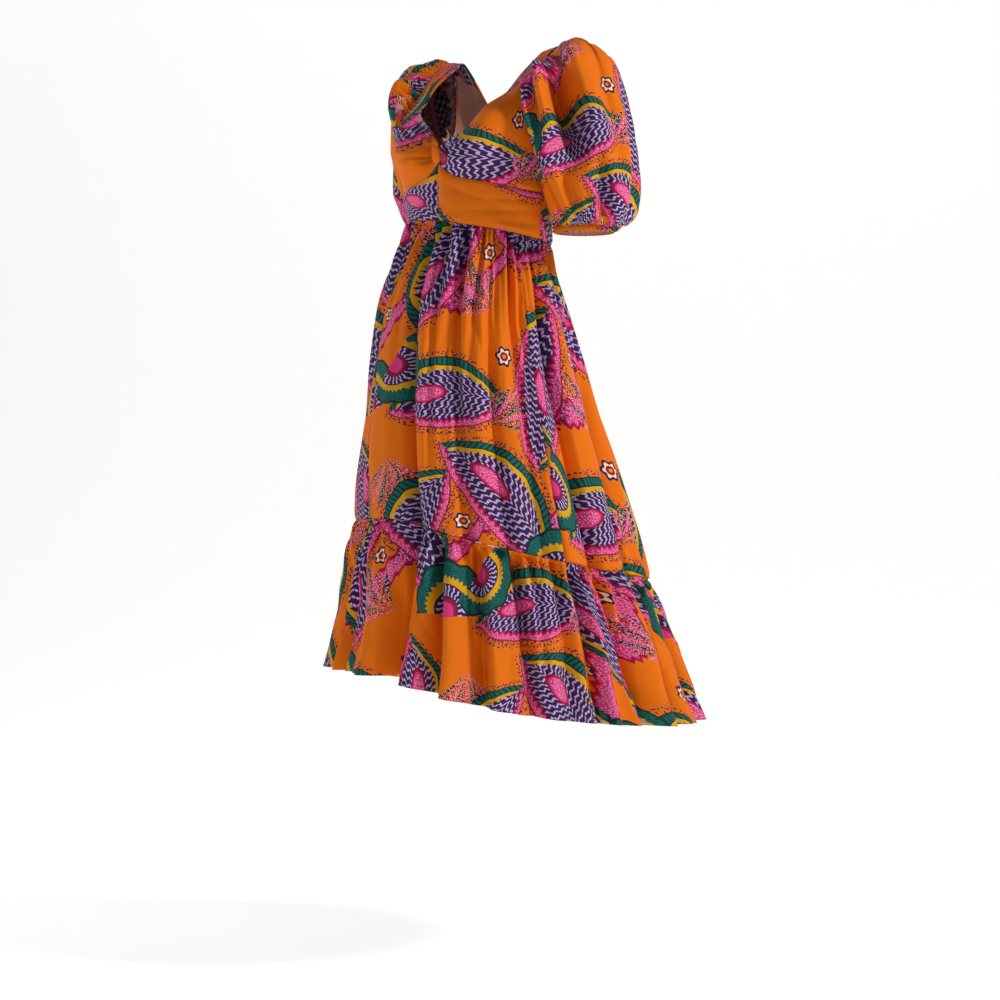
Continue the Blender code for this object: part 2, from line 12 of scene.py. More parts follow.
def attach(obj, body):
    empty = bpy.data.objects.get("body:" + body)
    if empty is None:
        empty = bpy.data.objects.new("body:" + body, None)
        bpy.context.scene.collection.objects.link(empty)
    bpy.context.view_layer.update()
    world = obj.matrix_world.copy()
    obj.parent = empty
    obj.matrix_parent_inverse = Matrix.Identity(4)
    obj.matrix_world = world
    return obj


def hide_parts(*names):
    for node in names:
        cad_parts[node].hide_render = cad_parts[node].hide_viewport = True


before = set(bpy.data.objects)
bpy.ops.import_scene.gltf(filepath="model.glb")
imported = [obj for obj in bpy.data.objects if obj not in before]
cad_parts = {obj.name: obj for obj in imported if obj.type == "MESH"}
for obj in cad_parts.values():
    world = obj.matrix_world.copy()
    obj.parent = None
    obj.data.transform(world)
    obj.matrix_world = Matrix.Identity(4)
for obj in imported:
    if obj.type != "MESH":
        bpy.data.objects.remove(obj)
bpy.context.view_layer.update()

# Camera and studio: level camera below the waist seam, to the front left of the dress, with a long lens.
# The pale sweep of floor and wall stands below the dress, and soft boxes light it.
WAIST_FROM_SHOULDERS = np.array((0.0, -0.064, 0.006))
VIEW_ANGLE = math.radians(43)
VIEW_DISTANCE = 4.6
VIEW_HEIGHT = -0.784
METRES_PER_PIXEL = 0.00174
WAIST_PIXEL = 478.5
IMAGE_SIZE = 1000
SENSOR_MM = 36
FLOOR_Z = -1.60
SWEEP_START = 1.8
SWEEP_RADIUS = 3.2
SWEEP_HALF_SIZE = 9.0
PAPER_GLOW = 0.56
ROOM_GLOW = 0.085


def stand(name, data):
    """New object of some data, in the scene."""
    made = bpy.data.objects.new(name, data)
    bpy.context.scene.collection.objects.link(made)
    return made


def as_mesh(shape, name):
    mesh = bpy.data.meshes.new(name)
    shape.to_mesh(mesh)
    shape.free()
    return mesh


def linear(hex_colour):
    """Linear RGBA of an sRGB hex colour."""
    channels = [int(hex_colour[i:i + 2], 16) / 255 for i in (1, 3, 5)]
    return tuple(c / 12.92 if c <= 0.04045 else ((c + 0.055) / 1.055) ** 2.4 for c in channels) + (1.0,)


def put(tree, kind, *sockets, at=None, out=0, **settings):
    """Adds a node with its settings and its values or links, in order or by place, and gives one output."""
    node = tree.nodes.new("ShaderNode" + kind)
    for name, value in settings.items():
        setattr(node, name, value)
    for place, value in list(enumerate(sockets)) + list((at or {}).items()):
        if isinstance(value, bpy.types.NodeSocket):
            tree.links.new(value, node.inputs[place])
        elif value is not None:
            node.inputs[place].default_value = value
    return node.outputs[out]


to_right = np.array((math.cos(VIEW_ANGLE), math.sin(VIEW_ANGLE), 0.0))
to_camera = np.array((math.sin(VIEW_ANGLE), -math.cos(VIEW_ANGLE), 0.0))
waist_axis = np.array((0.0, WAIST_FROM_SHOULDERS[1], VIEW_HEIGHT))
camera_data = bpy.data.cameras.new("studio camera")
camera_data.sensor_width = SENSOR_MM
camera_data.lens = SENSOR_MM * VIEW_DISTANCE / (IMAGE_SIZE * METRES_PER_PIXEL)
camera = stand("studio camera", camera_data)
off_centre = (IMAGE_SIZE / 2 - WAIST_PIXEL) * METRES_PER_PIXEL
camera.location = waist_axis + to_right * off_centre + to_camera * VIEW_DISTANCE
camera.rotation_euler = (math.radians(90), 0.0, VIEW_ANGLE)
bpy.context.scene.camera = camera
bpy.context.scene.view_settings.view_transform = "Standard"

sweep = bmesh.new()
bmesh.ops.create_grid(sweep, x_segments=2, y_segments=60, size=SWEEP_HALF_SIZE)
for vertex in sweep.verts:
    beyond = vertex.co.y - SWEEP_START
    if beyond > 0:
        turn = min(beyond / SWEEP_RADIUS, math.pi / 2)
        vertex.co.y = SWEEP_START + SWEEP_RADIUS * math.sin(turn)
        vertex.co.z = SWEEP_RADIUS * (1 - math.cos(turn)) + max(beyond - SWEEP_RADIUS * math.pi / 2, 0.0)
bmesh.ops.rotate(sweep, verts=sweep.verts, matrix=Matrix.Rotation(VIEW_ANGLE, 3, "Z"))
bmesh.ops.translate(sweep, verts=sweep.verts, vec=(0.0, 0.0, FLOOR_Z))
sweep_mesh = as_mesh(sweep, "studio_sweep")
sweep_mesh.shade_smooth()
floor = stand("studio_sweep", sweep_mesh)
paper = bpy.data.materials.new("seamless white paper")
paper.use_nodes = True
paper_shader = paper.node_tree.nodes["Principled BSDF"]
paper_shader.inputs["Base Color"].default_value = linear("#F7F6F4")
paper_shader.inputs["Roughness"].default_value = 0.9
paper_shader.inputs["Emission Color"].default_value = (1.0, 1.0, 1.0, 1.0)
paper_shader.inputs["Emission Strength"].default_value = PAPER_GLOW
floor.data.materials.append(paper)

world = bpy.data.worlds.new("studio")
bpy.context.scene.world = world
world.use_nodes = True
world.node_tree.nodes["Background"].inputs["Color"].default_value = (1.0, 0.99, 0.98, 1.0)
world.node_tree.nodes["Background"].inputs["Strength"].default_value = ROOM_GLOW

Soft = namedtuple("Soft", "name right forward up size power")
SOFT_BOXES = [
    Soft("key", 2.9, 1.7, 2.0, 0.7, 97.0),
    Soft("fill", -0.8, 3.8, 0.6, 2.0, 15.0),
    Soft("rim", -2.6, -0.6, 1.4, 1.2, 24.0),
]
LIT_MIDDLE = np.array((0.0, 0.0, -0.6))
for box in SOFT_BOXES:
    light = bpy.data.lights.new(box.name, "AREA")
    light.shape = "DISK"
    light.size = box.size
    light.energy = box.power
    lamp = stand(box.name, light)
    lamp.location = LIT_MIDDLE + to_right * box.right + to_camera * box.forward + np.array((0.0, 0.0, box.up))
    lamp.rotation_euler = (Vector(LIT_MIDDLE) - lamp.location).to_track_quat("-Z", "Y").to_euler()

# Printed cotton poplin: plain weave with a crisp hand and a faint sheen, printed on its face, paler behind.
# The print is a generic one of banded leaves, fans, ribbon, sprays and rosettes, in a half-drop repeat.
REPEAT_WIDTH = 0.42
REPEAT_HEIGHT = 0.46
HAND_DRAWN = 0.013
ORANGE = linear("#E57004")
PLUM = linear("#3A1B50")
LILAC = linear("#CDB8DC")
TEAL = linear("#17655F")
DARK_GREEN = linear("#0A3127")
OCHRE = linear("#DB9F12")
PINK = linear("#D63A80")
PALE_PINK = linear("#F09ABB")
CRIMSON = linear("#A20F3B")
CREAM = linear("#F1DFB8")
CHEVRON_STEP = 0.0112
LEAF_HALF_LENGTH = 0.120
LEAF_HALF_WIDTH = 0.056
LEAF_BEND = 1.9
FAN_LOBES = 5.0
RIBBON_SWING = 0.030
SPECKLED = 0.30
FRINGED = 0.30
REVERSE_FADE = 0.85
WEAVE_SCALE = 1500.0

Motif = namedtuple("Motif", "kind x y turn size")
MOTIFS = [
    Motif("spray", 0.22, 0.05, 160, 1.10),
    Motif("spray", 0.02, 0.22, -75, 1.15),
    Motif("leaf", 0.08, 0.11, 66, 1.12),
    Motif("leaf", 0.27, 0.20, -38, 1.18),
    Motif("fan", 0.38, 0.08, 100, 0.88),
    Motif("leaf", 0.14, 0.35, 12, 1.08),
    Motif("leaf", 0.34, 0.37, -82, 1.00),
    Motif("spray", 0.24, 0.31, 60, 1.00),
    Motif("fan", 0.02, 0.38, -30, 0.74),
    Motif("rosette", 0.19, 0.14, 0, 0.85),
    Motif("rosette", 0.40, 0.24, 0, 0.75),
    Motif("rosette", 0.25, 0.43, 0, 0.90),
]


def calc(tree, operation, *values):
    return put(tree, "Math", *values, operation=operation)


def math_step(operation):
    """Function that adds one kind of math node to a tree."""
    return lambda tree, *values: calc(tree, operation, *values)


times, over, plus, minus = map(math_step, ("MULTIPLY", "DIVIDE", "ADD", "SUBTRACT"))
power, size_of, fraction = map(math_step, ("POWER", "ABSOLUTE", "FRACT"))
below, above, times_plus = map(math_step, ("LESS_THAN", "GREATER_THAN", "MULTIPLY_ADD"))


def distance(tree, along, aside):
    """Distance from a motif's centre."""
    squares = power(tree, along, 2.0), power(tree, aside, 2.0)
    return calc(tree, "SQRT", plus(tree, *squares))


def both(tree, *masks):
    """Product of masks."""
    total = masks[0]
    for mask in masks[1:]:
        total = times(tree, total, mask)
    return total


def between(tree, value, low, high):
    return both(tree, above(tree, value, low), below(tree, value, high))


def layered(tree, colour, layers):
    """Colour with layers painted over it in turn: each is a colour and the masks that it needs."""
    for shade, *masks in layers:
        mask = both(tree, *masks)
        colour = put(tree, "Mix", at={0: mask, 6: colour, 7: shade}, out=2, data_type="RGBA")
    return colour


def wrapped(tree, value, period):
    """Value brought into the repeat round 0."""
    return calc(tree, "WRAP", value, period / 2, -period / 2)


def motif_place(tree, x, y, motif):
    """Place on a motif of the half-drop repeat, turned to its own axes and in its own size."""
    from_motif = minus(tree, x, motif.x)
    column = calc(tree, "ROUND", over(tree, from_motif, REPEAT_WIDTH))
    across = minus(tree, from_motif, times(tree, column, REPEAT_WIDTH))
    drop = times_plus(tree, column, REPEAT_HEIGHT / 2, motif.y)
    up = wrapped(tree, minus(tree, y, drop), REPEAT_HEIGHT)
    cosine = math.cos(math.radians(motif.turn)) / motif.size
    sine = math.sin(math.radians(motif.turn)) / motif.size
    along = times_plus(tree, up, sine, times(tree, across, cosine))
    aside = times_plus(tree, up, cosine, times(tree, across, -sine))
    return along, aside


def zigzag(tree, value, step):
    """Triangle wave of 0 to 1 with one tooth a step."""
    return over(tree, calc(tree, "PINGPONG", value, step / 2), step / 2)


def dashes(tree, along, aside, step):
    """Mask of broken zigzag lines across a motif."""
    line = times_plus(tree, zigzag(tree, aside, 0.0105), 0.0055, along)
    number = over(tree, line, step)
    row = calc(tree, "FLOOR", number)
    dash = fraction(tree, times_plus(tree, row, 0.37, over(tree, aside, 0.0036)))
    return both(tree, below(tree, fraction(tree, number), 0.34), below(tree, dash, 0.78))


def leaf(tree, colour, along, aside, dots, fine):
    bent = times_plus(tree, power(tree, size_of(tree, along), 2.0), LEAF_BEND, aside)
    aside_size = size_of(tree, bent)
    share = size_of(tree, over(tree, along, LEAF_HALF_LENGTH))
    taper = minus(tree, 1.0, power(tree, share, 2.4))
    edge = minus(tree, times(tree, taper, LEAF_HALF_WIDTH), aside_size)
    inside = above(tree, edge, 0.0)
    speckle = below(tree, fine, SPECKLED)
    chevrons = dashes(tree, times_plus(tree, aside_size, 0.85, along), bent, CHEVRON_STEP)
    heart = power(tree, over(tree, plus(tree, along, 0.030), 0.036), 2.0)
    heart = plus(tree, heart, power(tree, over(tree, bent, 0.013), 2.0))
    colour = layered(tree, colour, [
        (PLUM, between(tree, edge, -0.010, 0.0), below(tree, dots, FRINGED)),
        (PLUM, inside),
        (LILAC, above(tree, edge, 0.004), chevrons),
        (CRIMSON, below(tree, heart, 1.0)),
        (PINK, below(tree, heart, 0.66)),
        (PALE_PINK, below(tree, heart, 0.5), speckle),
    ])
    upper = above(tree, bent, 0.0)
    tooth = times_plus(tree, zigzag(tree, along, 0.0085), -0.0055, edge)
    band = between(tree, edge, 0.002, 0.0125)
    colour = layered(tree, colour, [
        (OCHRE, upper, inside, below(tree, tooth, 0.0195)),
        (DARK_GREEN, upper, between(tree, edge, 0.0, 0.0145)),
        (TEAL, upper, band),
        (DARK_GREEN, upper, band, below(tree, zigzag(tree, along, 0.007), 0.36)),
    ])
    lower = both(tree, below(tree, bent, 0.0), inside)
    wave = times_plus(tree, zigzag(tree, along, 0.011), 0.0055, edge)
    return layered(tree, colour, [
        (CRIMSON, lower, below(tree, wave, 0.0175)),
        (PINK, lower, below(tree, wave, 0.0140)),
        (PALE_PINK, lower, below(tree, wave, 0.0125), speckle),
        (CRIMSON, lower, below(tree, edge, 0.0022)),
    ])


def fan(tree, colour, along, aside, dots, fine):
    radius = distance(tree, along, aside)
    bearing = calc(tree, "ARCTAN2", along, aside)
    lobes = size_of(tree, calc(tree, "SINE", times(tree, bearing, FAN_LOBES)))
    scallop = times_plus(tree, lobes, -0.008, radius)
    rim = below(tree, scallop, 0.083)
    tooth = times_plus(tree, zigzag(tree, bearing, 0.17), 0.006, radius)
    number = over(tree, bearing, 0.26)
    ray = fraction(tree, times_plus(tree, zigzag(tree, radius, 0.010), 0.3, number))
    half = above(tree, along, -0.010)
    return layered(tree, colour, [
        (DARK_GREEN, half, below(tree, scallop, 0.088)),
        (TEAL, half, rim),
        (DARK_GREEN, half, rim, below(tree, fine, SPECKLED)),
        (OCHRE, half, below(tree, tooth, 0.066)),
        (PLUM, half, below(tree, radius, 0.050)),
        (LILAC, half, between(tree, radius, 0.028, 0.047), below(tree, ray, 0.32)),
        (CRIMSON, half, below(tree, tooth, 0.028)),
        (PINK, half, below(tree, radius, 0.018)),
    ])


def spray(tree, colour, along, aside, dots, fine):
    radius = distance(tree, along, aside)
    bearing = plus(tree, calc(tree, "ARCTAN2", aside, along), times(tree, radius, 4.5))
    number = over(tree, bearing, 0.20)
    row = calc(tree, "FLOOR", number)
    taper = over(tree, radius, times_plus(tree, size_of(tree, row), -0.010, 0.098))
    from_middle = size_of(tree, times_plus(tree, taper, 2.0, -1.0))
    width = times(tree, minus(tree, 1.0, power(tree, from_middle, 2.5)), 0.36)
    off_line = size_of(tree, minus(tree, fraction(tree, number), 0.5))
    stroke = both(tree, below(tree, off_line, width), between(tree, row, -4.5, 4.5), below(tree, taper, 1.0))
    kind = calc(tree, "MODULO", plus(tree, row, 30.0), 3.0)
    return layered(tree, colour, [
        (CRIMSON, stroke, below(tree, kind, 0.5)),
        (PINK, stroke, between(tree, kind, 0.5, 1.5)),
        (PLUM, stroke, above(tree, kind, 1.5)),
        (CREAM, stroke, below(tree, fine, 0.24)),
    ])


def rosette(tree, colour, along, aside, dots, fine):
    radius = distance(tree, along, aside)
    petals = calc(tree, "COSINE", times(tree, calc(tree, "ARCTAN2", aside, along), 6.0))
    edge = times_plus(tree, petals, -0.0022, radius)
    return layered(tree, colour, [
        (PLUM, below(tree, edge, 0.0175)),
        (CREAM, below(tree, edge, 0.0125)),
        (CRIMSON, below(tree, radius, 0.0085)),
        (OCHRE, below(tree, radius, 0.0035)),
    ])


DRAWN = {"leaf": leaf, "fan": fan, "spray": spray, "rosette": rosette}


def printed(tree):
    """Colour of the print at the cloth's own flat place in metres."""
    flat = put(tree, "UVMap", uv_map="flat cloth")
    wander = put(tree, "TexNoise", flat, None, 13.0, 3.0, out=1, noise_dimensions="2D")
    shift = put(tree, "VectorMath", wander, (0.5, 0.5, 0.5), operation="SUBTRACT")
    drawn = put(tree, "VectorMath", shift, (HAND_DRAWN, HAND_DRAWN, 0.0), flat, operation="MULTIPLY_ADD")
    apart = tree.nodes.new("ShaderNodeSeparateXYZ")
    tree.links.new(drawn, apart.inputs[0])
    x, y = apart.outputs[0], apart.outputs[1]
    dots = put(tree, "TexVoronoi", flat, None, 190.0, voronoi_dimensions="2D")
    fine = put(tree, "TexVoronoi", flat, None, 330.0, voronoi_dimensions="2D")
    rise = times(tree, x, REPEAT_HEIGHT / 2 / REPEAT_WIDTH)
    wave = calc(tree, "SINE", times(tree, x, 4 * math.pi / REPEAT_WIDTH))
    swing = times(tree, wave, RIBBON_SWING)
    off_ribbon = minus(tree, minus(tree, y, rise), swing)
    off_ribbon = size_of(tree, wrapped(tree, off_ribbon, REPEAT_HEIGHT))
    rickrack = times_plus(tree, zigzag(tree, x, 0.016), 0.008, off_ribbon)
    colour = layered(tree, ORANGE, [
        (CRIMSON, below(tree, rickrack, 0.027)),
        (PINK, below(tree, rickrack, 0.0205)),
        (PALE_PINK, below(tree, rickrack, 0.018), below(tree, fine, SPECKLED)),
    ])
    for motif in MOTIFS:
        along, aside = motif_place(tree, x, y, motif)
        colour = DRAWN[motif.kind](tree, colour, along, aside, dots, fine)
    return colour, flat


def poplin(name, faded):
    material = bpy.data.materials.new(name)
    material.use_nodes = True
    tree = material.node_tree
    shader = tree.nodes["Principled BSDF"]
    colour, flat = printed(tree)
    if faded:
        colour = put(tree, "HueSaturation", 0.5, 0.55, 0.70, faded, colour)
    tree.links.new(colour, shader.inputs["Base Color"])
    creases = put(tree, "TexNoise", flat, None, 46.0, 3.0, 0.55, noise_dimensions="2D")
    weave = put(tree, "TexVoronoi", flat, None, WEAVE_SCALE, voronoi_dimensions="2D", distance="CHEBYCHEV")
    bumped = put(tree, "Bump", 0.35, 0.00025, None, weave)
    bumped = put(tree, "Bump", 0.55, 0.0010, None, creases, bumped)
    tree.links.new(bumped, shader.inputs["Normal"])
    shader.inputs["Roughness"].default_value = 0.78
    shader.inputs["Sheen Weight"].default_value = 0.03
    shader.inputs["Sheen Roughness"].default_value = 0.40
    shader.inputs["Specular IOR Level"].default_value = 0.18
    return material


# Printed face of the poplin, screen printed; and its reverse, where the dye shows through weaker.
printed_face = poplin("screen printed cotton poplin, face", 0.0)
printed_back = poplin("screen printed cotton poplin, reverse", REVERSE_FADE)

# Skirt: three gored panels of poplin gathered into the waist seam, joined at the sides and the back.
# Soft main folds run down from the gathers, and finer creases lie between them.
THREAD_GAP = 0.0009
CLOTH_THICK = 0.0006
EDGE_STEPS = 2
SEAM_TURN = 0.006
HEM_TURN = 0.0016
GROOVE_DEPTH = 0.0032
GROOVE_WIDTH = 0.0040
SIDE_DROP = 0.13
SKIRT_SIDE = 68
WAIST_PRINT_SHARE = 0.62

Ring = namedtuple("Ring", "down half_width half_depth centre_y")
SKIRT_RINGS = [
    Ring(0.00, 0.1450, 0.1050, 0.000),
    Ring(0.06, 0.1570, 0.1190, 0.000),
    Ring(0.13, 0.1700, 0.1360, 0.000),
    Ring(0.25, 0.1870, 0.1620, 0.000),
    Ring(0.36, 0.2000, 0.1830, 0.006),
    Ring(0.60, 0.2240, 0.2210, 0.025),
    Ring(0.83, 0.2450, 0.2530, 0.047),
    Ring(1.00, 0.2580, 0.2730, 0.066),
]
Level = namedtuple("Level", "angle waist flounce hem")
LEVELS = [
    Level(0, -0.3110, -0.822, -1.085),
    Level(45, -0.3160, -0.848, -1.112),
    Level(90, -0.3270, -0.877, -1.128),
    Level(135, -0.3380, -0.903, -1.143),
    Level(180, -0.3430, -0.915, -1.150),
]
Fold = namedtuple("Fold", "angle_top angle_low half_width depth_top depth_low")
SKIRT_FOLDS = [
    Fold(-5, 7, 6, 0.010, 0.024),
    Fold(24, 31, 6, 0.009, 0.012),
    Fold(43, 47, 5, 0.006, 0.009),
    Fold(58, 60, 5, 0.008, 0.012),
    Fold(78, 84, 7, 0.007, 0.024),
    Fold(101, 106, 7, 0.007, 0.020),
    Fold(122, 128, 7, 0.008, 0.026),
    Fold(146, 150, 6, 0.007, 0.020),
    Fold(168, 166, 6, 0.008, 0.022),
    Fold(189, 194, 7, 0.007, 0.026),
    Fold(210, 216, 7, 0.008, 0.020),
    Fold(234, 238, 6, 0.007, 0.024),
    Fold(256, 259, 7, 0.008, 0.018),
    Fold(277, 283, 7, 0.007, 0.022),
    Fold(301, 306, 6, 0.008, 0.016),
    Fold(326, 333, 7, 0.007, 0.014),
]
# Where two folds meet, the cloth closes into a deep narrow trough
SKIRT_TROUGHS = [
    Fold(-28, -23, 2.2, 0.014, 0.026),
    Fold(-4, 7, 2.3, 0.022, 0.041),
    Fold(12, 18, 1.7, 0.012, 0.005),
    Fold(25, 31, 2.0, 0.017, 0.014),
    Fold(44, 47, 1.7, 0.012, 0.012),
    Fold(59, 60, 1.8, 0.014, 0.012),
    Fold(79, 84, 2.2, 0.014, 0.036),
    Fold(102, 106, 2.1, 0.014, 0.031),
    Fold(124, 128, 2.2, 0.014, 0.036),
    Fold(147, 150, 2.0, 0.014, 0.026),
    Fold(167, 166, 2.1, 0.014, 0.031),
    Fold(191, 194, 2.2, 0.014, 0.036),
    Fold(212, 216, 2.0, 0.014, 0.026),
    Fold(235, 238, 2.1, 0.012, 0.034),
    Fold(257, 259, 2.1, 0.017, 0.024),
    Fold(279, 283, 2.2, 0.014, 0.031),
    Fold(302, 306, 2.0, 0.014, 0.022),
]
Gather = namedtuple("Gather", "place drift length depth width")


def mix(a, b, share):
    return a + (b - a) * share


def soft_step(value):
    value = np.clip(value, 0.0, 1.0)
    return value * value * (3 - 2 * value)


def read(rows, column, at):
    """Smooth values of a table's column at places along its first column, never past its rows."""
    key = np.array([row[0] for row in rows], dtype=float)
    value = np.array([getattr(row, column) for row in rows], dtype=float)
    run = np.diff(key)
    rise = np.diff(value) / run
    same_way = rise[:-1] * rise[1:] > 0
    slopes = np.concatenate(([rise[0]], np.zeros(len(rise) - 1), [rise[-1]]))
    slopes[1:-1][same_way] = 2 * rise[:-1][same_way] * rise[1:][same_way] / (rise[:-1] + rise[1:])[same_way]
    at = np.clip(at, key[0], key[-1])
    i = np.clip(np.searchsorted(key, at) - 1, 0, len(run) - 1)
    t = (at - key[i]) / run[i]
    ends = value[i] * (2 * t**3 - 3 * t**2 + 1) + value[i + 1] * (3 * t**2 - 2 * t**3)
    return ends + run[i] * (slopes[i] * (t**3 - 2 * t**2 + t) + slopes[i + 1] * (t**3 - t**2))


def edge_run(share, segments, fold_low, fold_high):
    """Share of the panel, and how far inwards: outer grid steps turn in at a seam and fold back at a hem."""
    step = EDGE_STEPS / segments
    inner = np.clip((share - step) / (1 - 2 * step), 0.0, 1.0)
    inwards = np.zeros_like(share)
    for past, fold, sign in ((step - share, fold_low, 1), (share - 1 + step, fold_high, -1)):
        turn = np.clip(past / step, 0.0, 1.0)
        inner = inner + sign * fold * turn
        inwards += HEM_TURN * np.minimum(2 * turn, 1.0) if fold else SEAM_TURN * turn
    return inner, inwards


def keep_flat(mesh, cut):
    """Keeps each point's place on the flat cloth, for the print."""
    corners = np.empty(len(mesh.loops), dtype=np.int32)
    mesh.loops.foreach_get("vertex_index", corners)
    mesh.uv_layers.new(name="flat cloth").uv.foreach_set("vector", cut[corners].astype(np.float32).ravel())


def unit(way):
    return way / np.linalg.norm(way, axis=1)[:, None]


def signed(angle):
    """Angle brought into the turn round 0."""
    return (angle + 180) % 360 - 180


def cloth(name, columns, rows, place, inward, flat, folds=(0, 0, 0, 0), top_inward=None):
    """Panel of poplin: a grid laid by a function of its shares across and up, with finished edges."""
    grid = bmesh.new()
    bmesh.ops.create_grid(grid, x_segments=columns, y_segments=rows, size=0.5)
    mesh = as_mesh(grid, name + "_cloth")
    shares = np.empty(len(mesh.vertices) * 3)
    mesh.vertices.foreach_get("co", shares)
    across, in_across = edge_run(shares[0::3] + 0.5, columns, folds[0], folds[1])
    up, in_up = edge_run(shares[1::3] + 0.5, rows, folds[2], folds[3])
    points = place(across, up)
    way_in = inward(points)
    turned = np.where((up >= 1)[:, None], top_inward(points), way_in) if top_inward else way_in
    points = points + turned * np.maximum(in_across, in_up)[:, None] + WAIST_FROM_SHOULDERS
    mesh.vertices.foreach_set("co", points.ravel())
    mesh.update()
    keep_flat(mesh, np.stack(flat(across, up), axis=1))
    facing = np.empty(len(mesh.vertices) * 3)
    mesh.vertex_normals.foreach_get("vector", facing)
    if (facing.reshape(-1, 3) * way_in).sum() > 0:
        mesh.flip_normals()
    mesh.shade_smooth()
    piece = stand(name + "_cloth", mesh)
    piece.data.materials.append(printed_face)
    piece.data.materials.append(printed_back)
    wall = piece.modifiers.new("cloth thickness", "SOLIDIFY")
    wall.thickness = CLOTH_THICK
    wall.offset = -1
    wall.material_offset = 1
    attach(piece, "root")
    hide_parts(name)
    return piece


def groove(away):
    """Dip of the cloth along a sewn seam at a distance from it."""
    return GROOVE_DEPTH * np.exp(-(away / GROOVE_WIDTH) ** 2)


def uneven_wave(angle, count, wander):
    """Wave of -1 to 1 round the dress whose crests stand unevenly."""
    turn = np.radians(angle)
    phase = count * turn + wander * np.sin(3 * turn + 0.7) + 0.7 * wander * np.sin(7 * turn + 2.1)
    return (0.78 + 0.22 * np.sin(5 * turn + 1.3)) * np.sin(phase)


def field(x, y, size, seed):
    """Smooth uneven field of about -1 to 1 over the flat cloth, with bumps of about the given size."""
    chance = np.random.default_rng(seed)
    total = np.zeros_like(x)
    for _ in range(16):
        turn, phase = chance.uniform(0, 2 * np.pi, 2)
        wave = 2 * np.pi / (size * chance.uniform(0.7, 2.0))
        total += np.sin((x * np.cos(turn) + y * np.sin(turn)) * wave + phase)
    return total / 4.5


def creases(x, y, size, seed):
    """Thin crease lines of 0 to 1 where a smooth field changes sign."""
    return np.clip(1 - np.abs(field(x, y, size, seed)) * 1.6, 0.0, 1.0) ** 2


def gather_rows(seed, start, end, count, length, depth, width):
    """Uneven gathers: each is a valley of its own length, depth and width that drifts aside."""
    chance = np.random.default_rng(seed)
    step = (end - start) / count
    return [Gather(start + (i + 0.5 + chance.uniform(-0.36, 0.36)) * step, chance.normal(0, step),
                   length * chance.uniform(0.45, 1.55), depth * chance.uniform(0.5, 1.3),
                   width * chance.uniform(0.7, 1.35)) for i in range(count)]


def gathered(place, run, rows, widening, start=0.0):
    """Depth of a row of gathers at a place across and a run in metres from their seam."""
    total = np.zeros_like(place)
    rise = soft_step((run - start) / 0.006)
    for row in rows:
        past = run / row.length
        fade = np.clip(1 - past, 0.0, 1.0) ** 1.3
        width = row.width * (1 + widening * past)
        away = np.abs(place - row.place - row.drift * past) / width
        total += row.depth * fade * np.exp(-away ** 1.5)
    return total * rise


def valley(angle, centre, half_width):
    away = np.abs(signed(angle - centre)) / (2 * half_width)
    return np.where(away < 1, (np.cos(np.pi * np.minimum(away, 1)) + 1) / 2, 0.0)


def level(name, angle):
    return read(LEVELS, name, np.abs(signed(angle)))


def main_folds(rows, angle, down):
    """Depth of the folds of a table at places between the upper and the lower edge."""
    total = np.zeros_like(angle)
    for fold in rows:
        centre = mix(fold.angle_top, fold.angle_low, down)
        depth = mix(fold.depth_top, fold.depth_low, down) * soft_step(down / 0.10)
        total += depth * valley(angle, centre, fold.half_width)
    return total


def ring_place(rings, angle, down, moved_in, z):
    turn = np.radians(angle)
    half_width = read(rings, "half_width", down)
    half_depth = read(rings, "half_depth", down)
    return np.stack(((half_width - moved_in) * np.sin(turn),
                     read(rings, "centre_y", down) - (half_depth - moved_in) * np.cos(turn),
                     z - SIDE_DROP * half_width * np.sin(turn)), axis=1)


def level_inward(points):
    lean = soft_step((-points[:, 2] - 0.45) / 0.65)
    way = np.stack((-points[:, 0], 0.104 * lean - points[:, 1], np.zeros(len(points))), axis=1)
    return unit(way)


SKIRT_LENGTH = 0.53
SKIRT_RADIUS = 0.25
WAIST_GATHERS = (gather_rows(11, -180, 180, 104, 0.095, 0.0085, 0.75)
                 + gather_rows(12, -180, 180, 44, 0.240, 0.0130, 1.15)
                 + gather_rows(13, -180, 180, 24, 0.620, 0.0190, 2.20))
DEEP_GATHERS = [
    Gather(22, 9, 0.26, 0.022, 1.7),
    Gather(34, 4, 0.20, 0.016, 1.4),
    Gather(9, -4, 0.22, 0.016, 1.5),
    Gather(47, 3, 0.24, 0.018, 1.6),
    Gather(59, 3, 0.20, 0.014, 1.4),
    Gather(-14, -4, 0.25, 0.016, 1.6),
]
SKIRT_SEAMS = (-SKIRT_SIDE, SKIRT_SIDE, 180, -180)


def skirt_place(angle, down):
    z = mix(level("waist", angle), level("flounce", angle), down)
    run = down * SKIRT_LENGTH
    around = np.radians(angle) * 0.21
    moved_in = main_folds(SKIRT_FOLDS, angle, down) + main_folds(SKIRT_TROUGHS, angle, down)
    moved_in += gathered(signed(angle), run, WAIST_GATHERS + DEEP_GATHERS, 1.6)
    moved_in += 0.0013 * field(around, run * 0.35, 0.045, 21) * soft_step(down / 0.1)
    moved_in += 0.0012 * creases(around + 0.10 * run, run * 0.20, 0.060, 22) * soft_step(down / 0.2)
    half_width = read(SKIRT_RINGS, "half_width", down)
    for seam in SKIRT_SEAMS:
        away = np.radians(np.abs(signed(angle - seam))) * half_width
        pucker = 1 + 0.5 * field(run, run * 0, 0.02, 23)
        moved_in += groove(away) * pucker
    moved_in += groove(run) + groove(SKIRT_LENGTH - run)
    return ring_place(SKIRT_RINGS, angle, down, moved_in, z)


